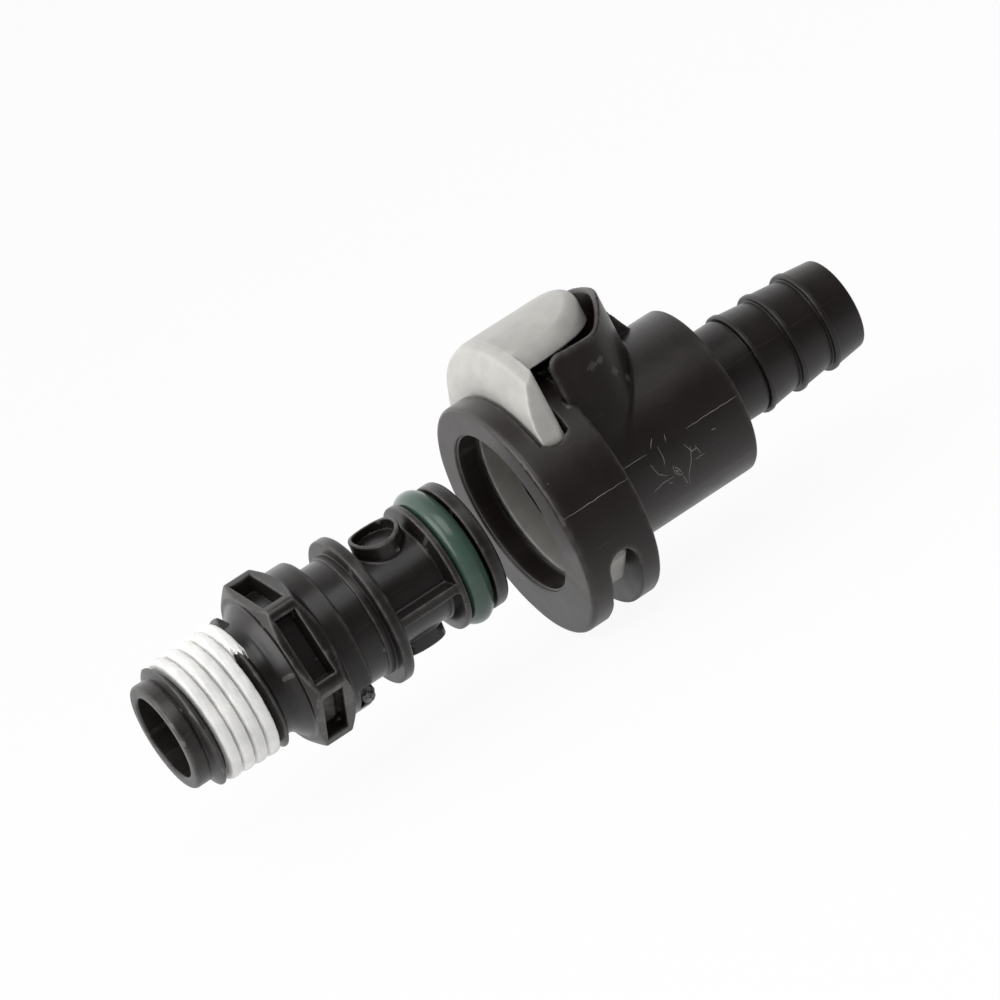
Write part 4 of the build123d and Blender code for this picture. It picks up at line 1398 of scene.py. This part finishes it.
    def _hexagon(self, spots: Spots) -> Array:
        """Distance to the hexagon: one sixth, folded round the axis, chamfered and less its pocket."""
        sector = TURN / 6.0
        angle = np.arctan2(spots.z, spots.y) - math.radians(self.roll + 90.0)
        folded = (angle + sector / 2.0) % sector - sector / 2.0
        outward, sideways = spots.radius * np.cos(folded), spots.radius * np.sin(folded)
        neighbour = spots.radius * np.cos(sector - np.abs(folded)) - self.hex_half
        prism = meet(outward - self.hex_half, neighbour, 0.35)
        back_chamfer, front_chamfer = self.hex_chamfers
        chamfer = turned(
            spots.x,
            spots.radius,
            (
                (self.hex_back_x, PAST_AXIS, 0.0),
                (self.hex_back_x, self.hex_end_radius, 0.12),
                (self.hex_back_x + back_chamfer, self.hex_corner_radius, 0.3),
                (self.hex_front_x - front_chamfer, self.hex_corner_radius, 0.2),
                (self.hex_front_x, self.hex_end_radius, 0.12),
                (self.hex_front_x, PAST_AXIS, 0.0),
            ),
        )
        sunk = self.hex_half - outward
        pocket = block(spots.x - self.pocket_x, sideways, *self.pocket_half)
        pocket = np.maximum(pocket + self.pocket_draft * np.maximum(sunk, 0.0), sunk - self.pocket_depth)
        return cut(meet(prism, chamfer, 0.1), pocket, 0.14)

    def stub_distance(self, spots: Spots) -> Array:
        """Distance to the sprue's torn stub: a leaning peg, its side and top pushed about by sines."""
        side, out = rolled(spots, self.gate_angle)
        out = out - self.gate_stub_floor
        along, side = spots.x - self.gate_stub_x, side + 0.3 * np.maximum(out, 0.0)
        waves = ((3.0, 1.0, 0.3), (5.0, -1.4, 1.7), (2.0, 2.3, 4.0))
        wobble = ripple(np.arctan2(side, along), out * 4.0, waves)
        torn = ripple(along * 3.0, side * 3.0, ((1.0, 1.2, 0.5), (1.6, -1.0, 2.2), (-0.8, 2.0, 1.0)))
        peg = np.hypot(along, side) - 0.8 * (1.0 + 0.16 * wobble) + 0.2 * out
        return meet(meet(peg, out - 0.85 - 0.35 * torn, 0.15), -0.6 - out)

    def gate_stub(self) -> Surface:
        """The torn stub of the sprue."""
        turn = math.radians(self.gate_angle)
        reach = np.arange(-1.5, 1.5, 0.07)
        width, height = reach - 7.6 * math.sin(turn), reach + 7.6 * math.cos(turn)
        along = self.gate_stub_x + reach
        return SampledSolid(self.stub_distance, along, width, height, rings=False).surface()

    def build(self, workshop: Workshop) -> None:
        """Makes the three surfaces and lays them in place of the CAD adapter."""
        node = ("thread_adapter",)
        workshop.lay("adapter_thread", self.threaded_end(), INSERT_PLASTIC, Body.INSERT, node)
        stations = graded(-55.1, -44.7, 0.22, (-54.82, -51.65, -50.75, -48.45, -47.25, -45.0), 0.08)
        radii = graded(4.1, 9.5, 0.2, (4.35, 6.0, 6.2, 7.95, 9.1), 0.09)
        angles = np.linspace(0.0, TURN, 300, endpoint=False)
        surface = SampledSolid(self.distance, stations, angles, radii).surface()
        workshop.lay("adapter_hexagon", surface, INSERT_PLASTIC, Body.INSERT, node)
        workshop.lay("adapter_gate_stub", self.gate_stub(), TORN_PLASTIC, Body.INSERT)


@dataclass
class ThreadSealant:
    """Dried sealant on the thread's middle turns, thick on the crests and gone in the roots."""

    thread: PipeThread = PipeThread()
    first_turn: float = 0.66
    last_turn: float = 4.9
    start_x: float = -61.7
    end_x: float = -53.9
    thickness: float = 0.07
    unevenness: float = 0.02
    raggedness: float = 0.022

    def surface(self) -> Surface:
        """A closed skin over the thread.

        Its radius is the crest's plus a film, which thins with the square of the distance across the crest
        and falls into the root with about its ninth power. Film and reach are varied by sines, so the ends
        are ragged. The inner side of the skin lies in the thread and needs a sixth of the rings.

        Returns:
            The closed surface.
        """
        thread = self.thread
        angle = np.linspace(0.0, TURN, 260, endpoint=False)[None, :]
        x = np.linspace(self.start_x, self.end_x, 300)[:, None]
        across, length = thread.across(x, angle), thread.length(x, angle)
        waves = ((1.0, 2.0, 0.2), (-2.3, 5.0, 1.4), (4.1, 3.0, 2.6), (6.5, 1.0, 0.9))
        ragged = self.raggedness * ripple(x * 2.5, angle, waves)
        start = np.clip((length - self.first_turn + ragged) / 0.02, 0.0, 1.0)
        end = np.clip((self.last_turn - length + ragged) / 0.02, 0.0, 1.0)
        waves = ((1.0, 17.0, 0.5), (2.2, -29.0, 1.9), (-1.6, 53.0, 0.1), (3.1, 7.0, 2.2))
        lumps = ripple(x * 4.0, angle, waves)
        film = self.thickness + self.unevenness * lumps
        outer = thread.crest(x) + film - 0.12 * across**2 - 0.95 * across ** (9.0 + 2.0 * lumps)
        inner = np.minimum(thread.radius(x, angle), thread.crest(x) - 0.2) - 0.25
        outer = inner + (outer - inner) * np.minimum(start, end)
        return ring_grid(np.vstack((x, x[::-6])), np.vstack((outer, inner[::-6])), angle)

    def build(self, workshop: Workshop) -> None:
        """Makes the skin and lays it in place of the CAD band."""
        workshop.lay("sealant_on_thread", self.surface(), DRIED_SEALANT, Body.INSERT, ("thread_sealant",))


@dataclass
class InsertNose:
    """Latch groove, collar, cored waist, gland and nose ring of the insert."""

    roll: float = 15.0
    spigot_x: float = -47.5
    spigot_radius: float = 6.15
    neck_x: float = -45.1
    neck_radius: float = 6.4
    bead_x: float = -42.4
    bead_radius: float = 6.6
    collar_back_x: float = -41.5
    collar_front_x: float = -40.3
    collar_radius: float = 7.92
    core_radius: float = 5.1
    core_end_x: float = -33.75
    core_draft: float = 0.38
    cored_radius: float = 6.6
    land_radius: float = 6.8
    gland_back_x: float = -32.75
    gland_front_x: float = -29.75
    gland_radius: float = 4.68
    nose_end_x: float = -28.3
    rib_half: float = 0.5
    boss_x: float = -36.7
    boss_radius: float = 2.58
    boss_hole_radius: float = 2.15
    boss_floor: float = 5.3
    clear_x: tuple[float, float] = (-49.0, -27.0)
    guide_bore: tuple[float, float] = (-41.35, 4.95)
    bore_radius: float = 3.7
    seat_radius: float = 2.6

    def distance(self, spots: Spots) -> Array:
        """Distance to the nose: turned part, rib and bosses joined, less the boss holes and the bores."""
        side, up = rolled(spots, self.roll)
        x, radius = spots.x, spots.radius
        middle = (self.collar_front_x + self.core_end_x) / 2.0
        waist = np.abs(x - middle) - (self.core_end_x - self.collar_front_x) / 2.0 - 0.3
        under_rim = radius - self.cored_radius
        rib = meet(np.abs(up) - self.rib_half - 0.05 * (self.cored_radius - np.abs(side)), under_rim, 0.14)
        to_boss = np.hypot(x - self.boss_x, side)
        boss = meet(to_boss - self.boss_radius, under_rim, 0.1)
        solid = join(self._turned_part(x, radius), np.maximum(join(rib, boss, 0.2), waist), 0.22)
        hole = np.maximum(to_boss - self.boss_hole_radius, self.boss_floor - np.abs(up))
        solid = cut(solid, hole, 0.1)
        before, past = self.clear_x
        guide_x, guide_radius = self.guide_bore
        bore = turned(
            x,
            radius,
            (
                (before, PAST_AXIS, 0.0),
                (before, guide_radius, 0.0),
                (guide_x, guide_radius, 0.05),
                (guide_x, self.bore_radius, 0.05),
                (self.gland_front_x, self.bore_radius, 0.05),
                (self.gland_front_x, self.seat_radius, 0.05),
                (past, self.seat_radius, 0.0),
                (past, PAST_AXIS, 0.0),
            ),
        )
        return cut(solid, bore, 0.12)

    def _turned_part(self, x: Array, radius: Array) -> Array:
        """Distance to spigot, neck, collar, core, land, gland and nose ring, without the bores."""
        corners = (
            (self.spigot_x, PAST_AXIS, 0.0),
            (self.spigot_x, self.spigot_radius, 0.1),
            (self.neck_x, self.spigot_radius, 0.0),
            (self.neck_x, self.neck_radius, 0.0),
            (self.bead_x, self.neck_radius, 0.06),
            (self.bead_x + 0.05, self.bead_radius, 0.08),
            (self.collar_back_x, self.bead_radius, 0.08),
            (self.collar_back_x, self.collar_radius, 0.22),
            (self.collar_front_x, self.collar_radius, 0.28),
            (self.collar_front_x, self.core_radius, 0.25),
            (self.core_end_x, self.core_radius, 0.25),
            (self.core_end_x + self.core_draft, self.land_radius, 0.1),
            (self.gland_back_x, self.land_radius, 0.1),
            (self.gland_back_x, self.gland_radius, 0.15),
            (self.gland_front_x, self.gland_radius, 0.15),
            (self.gland_front_x, self.land_radius, 0.12),
            (self.nose_end_x, self.land_radius, 0.4),
            (self.nose_end_x, PAST_AXIS, 0.0),
        )
        return turned(x, radius, corners)

    def build(self, workshop: Workshop) -> None:
        """Makes the nose and lays it in place of the CAD nose."""
        fine_at = (-47.5, -42.4, -41.5, -40.3, -33.6, -32.75, -29.75, -28.3)
        stations = graded(-47.8, -28.0, 0.24, fine_at, 0.08)
        radii = graded(2.3, 8.2, 0.2, (2.6, 3.7, 4.68, 5.1, 6.5, 6.8, 7.92), 0.08)
        angles = np.linspace(0.0, TURN, 276, endpoint=False)
        surface = SampledSolid(self.distance, stations, angles, radii).surface()
        workshop.lay("nose_moulding", surface, INSERT_PLASTIC, Body.INSERT, ("insert_nose",))


@dataclass
class NoseRing:
    """O-ring in the gland, with the fine line its mould leaves."""

    centre_x: float = -31.25
    centre_radius: float = 5.99
    section: float = 2.62
    line_height: float = 0.02
    line_width: float = 0.05
    line_angle: float = 78.0

    def surface(self) -> Surface:
        """A circle carried round the axis: its radius swells by a hair at the mould line.

        Returns:
            The closed surface.
        """
        around = np.linspace(0.0, TURN, 320, endpoint=False)[None, :]
        section = np.linspace(0.0, TURN, 96, endpoint=False)[:, None]
        swell = np.exp(-(((section - math.radians(self.line_angle)) / self.line_width) ** 2))
        radius = self.section / 2.0 + self.line_height * swell
        along = self.centre_x + radius * np.cos(section)
        return ring_grid(along, self.centre_radius + radius * np.sin(section), around)

    def build(self, workshop: Workshop) -> None:
        """Makes the ring and lays it in place of the CAD ring."""
        workshop.lay("nose_oring", self.surface(), ORING_RUBBER, Body.INSERT, ("insert_oring",))


@dataclass
class InnerPieces:
    """Valve pieces and springs, which keep their CAD shapes."""

    finishes: dict[str, Finish] = field(
        default_factory=lambda: {
            "latch_spring": SPRING_WIRE,
            "body_valve_spring": SPRING_WIRE,
            "insert_valve_spring": SPRING_WIRE,
            "body_spring_guide": BARB_PLASTIC,
            "insert_spring_guide": BARB_PLASTIC,
            "body_poppet": LATCH_PLASTIC,
            "insert_poppet": LATCH_PLASTIC,
            "body_poppet_seal": SEAL_RUBBER,
            "insert_poppet_seal": SEAL_RUBBER,
        }
    )

    def build(self, workshop: Workshop, nodes: dict[str, bpy.types.Object]) -> None:
        """Dresses each node."""
        for name, finish in self.finishes.items():
            workshop.dress_node(nodes[name], finish)


@dataclass(frozen=True)
class Softbox:
    """A soft rectangular lamp.

    toward is the direction from the object to the lamp in camera terms: right, up and back to the viewer.
    Distance and size are in millimetres and power in watts.
    """

    name: str
    toward: tuple[float, float, float]
    distance: float
    size: tuple[float, float]
    power: float


@dataclass
class Studio:
    """Pale floor, soft lamps, white surroundings and the camera."""

    floor_z: float = -13.72
    floor_half: float = 1500.0
    floor_color: tuple[float, float, float, float] = (0.8, 0.8, 0.8, 1.0)
    floor_glow_share: float = 0.93
    floor_shine: tuple[float, float] = (0.15, 0.85)
    floor_shade: tuple[float, float] = (-0.045, 0.005)
    distance: float = 532.604
    centre: tuple[float, float, float] = (-20.0, 0.0, 0.0)
    turn: float = 17.973
    tilt: float = 14.879
    roll: float = 32.992
    focal: float = 5532.244
    image_centre: tuple[float, float] = (536.634, 496.333)
    sensor: float = 36.0
    image_width: float = 1000.0
    bright_way: tuple[float, float, float] = (-0.8, -0.2, 0.55)
    dim: float = 0.10
    bright: float = 1.3
    lamps: tuple[Softbox, ...] = (
        Softbox("key_softbox", (-0.25, 0.62, 0.74), 450.0, (360.0, 300.0), 0.8),
        Softbox("left_softbox", (-0.88, -0.25, 0.4), 420.0, (300.0, 400.0), 0.85),
    )

    def axes(self) -> tuple[Vector, Vector, Vector]:
        """The camera's right, up and viewing directions: a turn about the upright, a tilt down, a roll."""
        theta, epsilon, rho = (math.radians(value) for value in (self.turn, self.tilt, self.roll))
        far, aside = math.cos(theta), math.sin(theta)
        ahead = Vector((aside, far * math.cos(epsilon), -far * math.sin(epsilon)))
        level = Vector((far, -aside * math.cos(epsilon), aside * math.sin(epsilon)))
        upright = Vector((0.0, math.sin(epsilon), math.cos(epsilon)))
        right = level * math.cos(rho) - upright * math.sin(rho)
        up = level * math.sin(rho) + upright * math.cos(rho)
        return right, up, ahead

    def place_camera(self) -> None:
        """Adds the camera where the photograph was taken from."""
        right, up, ahead = self.axes()
        data = bpy.data.cameras.new("view_camera")
        data.sensor_width = self.sensor
        data.lens = self.focal * self.sensor / self.image_width
        data.shift_x = -(self.image_centre[0] - self.image_width / 2.0) / self.image_width
        data.shift_y = (self.image_centre[1] - self.image_width / 2.0) / self.image_width
        data.clip_start, data.clip_end = 0.01, 20.0
        camera = bpy.data.objects.new("view_camera", data)
        place = (Vector(self.centre) - ahead * self.distance) * MM
        turn = Matrix((right, up, -ahead)).transposed().to_4x4()
        camera.matrix_world = Matrix.Translation(place) @ turn
        bpy.context.scene.collection.objects.link(camera)
        bpy.context.scene.camera = camera

    def hang(self, box: Softbox) -> None:
        """Adds a lamp that looks at the object."""
        right, up, ahead = self.axes()
        way = (right * box.toward[0] + up * box.toward[1] - ahead * box.toward[2]).normalized()
        data = bpy.data.lights.new(box.name, "AREA")
        data.shape = "RECTANGLE"
        data.size, data.size_y = box.size[0] * MM, box.size[1] * MM
        data.energy = box.power
        lamp = bpy.data.objects.new(box.name, data)
        place = (Vector(self.centre) + way * box.distance) * MM
        lamp.matrix_world = Matrix.Translation(place) @ way.to_track_quat("Z", "Y").to_matrix().to_4x4()
        bpy.context.scene.collection.objects.link(lamp)

    def lay_floor(self) -> None:
        """Adds the pale floor: nearly white to the camera, with a share of diffuse that keeps the shadow.

        In reflections it is pale under and behind the object and dark ahead of it, where the camera stands.
        """
        half = self.floor_half
        corners = ((-half, -half), (half, -half), (half, half), (-half, half))
        points = np.array([(x, y, self.floor_z) for x, y in corners])
        floor = Surface(points, np.array([[0, 1, 2, 3]])).to_object("studio_floor")
        material = bpy.data.materials.new("studio_floor")
        material.use_nodes = True
        material.node_tree.nodes.clear()
        sheet = NodeSheet(material.node_tree)
        diffuse = sheet.feed(sheet.add("ShaderNodeBsdfDiffuse"), Color=self.floor_color)
        rays = sheet.add("ShaderNodeLightPath").outputs
        place = sheet.parts(sheet.add("ShaderNodeNewGeometry").outputs["Position"])
        shine = sheet.mix_value(sheet.ramp(place[1], *self.floor_shade), *self.floor_shine)
        strength = sheet.mix_value(rays["Is Glossy Ray"], 1.0, shine)
        white = sheet.feed(sheet.add("ShaderNodeEmission"), Color=(1.0, 1.0, 1.0, 1.0), Strength=strength)
        seen = sheet.math("MAXIMUM", rays["Is Camera Ray"], rays["Is Transmission Ray"])
        seen = sheet.math("MAXIMUM", seen, rays["Is Glossy Ray"])
        share = sheet.math("MULTIPLY", seen, self.floor_glow_share)
        mixed = sheet.add("ShaderNodeMixShader")
        sheet.feed(mixed, n0=share, n1=diffuse.outputs[0], n2=white.outputs[0])
        sheet.feed(sheet.add("ShaderNodeOutputMaterial"), Surface=mixed.outputs[0])
        floor.data.materials.append(material)

    def surround(self) -> None:
        """Surroundings: white to the camera, and to the object brightest from the left and behind."""
        world = bpy.data.worlds.new("white_surroundings")
        bpy.context.scene.world = world
        world.use_nodes = True
        world.node_tree.nodes.clear()
        sheet = NodeSheet(world.node_tree)
        rays = sheet.add("ShaderNodeLightPath").outputs
        seen = sheet.math("MAXIMUM", rays["Is Camera Ray"], rays["Is Transmission Ray"])
        right, up, ahead = self.axes()
        rightward, upward, forward = self.bright_way
        brightest = (ahead * forward + right * rightward + up * upward).normalized()
        way = sheet.add("ShaderNodeTexCoord").outputs["Generated"]
        facing = sheet.add("ShaderNodeVectorMath", operation="DOT_PRODUCT")
        facing = sheet.feed(facing, n0=way, n1=brightest).outputs["Value"]
        glow = sheet.mix_value(sheet.ramp(facing, -0.5, 0.7), self.dim, self.bright)
        light = sheet.add("ShaderNodeBackground")
        sheet.feed(light, Color=(1.0, 1.0, 1.0, 1.0), Strength=sheet.mix_value(seen, glow, 1.0))
        sheet.feed(sheet.add("ShaderNodeOutputWorld"), Surface=light.outputs[0])

    def build(self) -> None:
        """Sets up the studio."""
        self.lay_floor()
        self.surround()
        for box in self.lamps:
            self.hang(box)
        self.place_camera()
        bpy.context.scene.view_settings.view_transform = "Standard"


def main() -> None:
    """Builds the scene on the frame."""
    logging.basicConfig(level=logging.INFO, format="%(message)s")
    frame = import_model()
    workshop = Workshop()
    body, barb = CouplingBody(), HoseBarb()
    coupling = (body, barb, MouldMarks(body, barb), ThumbLatch())
    insert = (ThreadAdapter(), ThreadSealant(), InsertNose(), NoseRing())
    for piece in (*coupling, *insert):
        piece.build(workshop)
    InnerPieces().build(workshop, frame["nodes"])
    Studio().build()


if __name__ == "__main__":
    main()
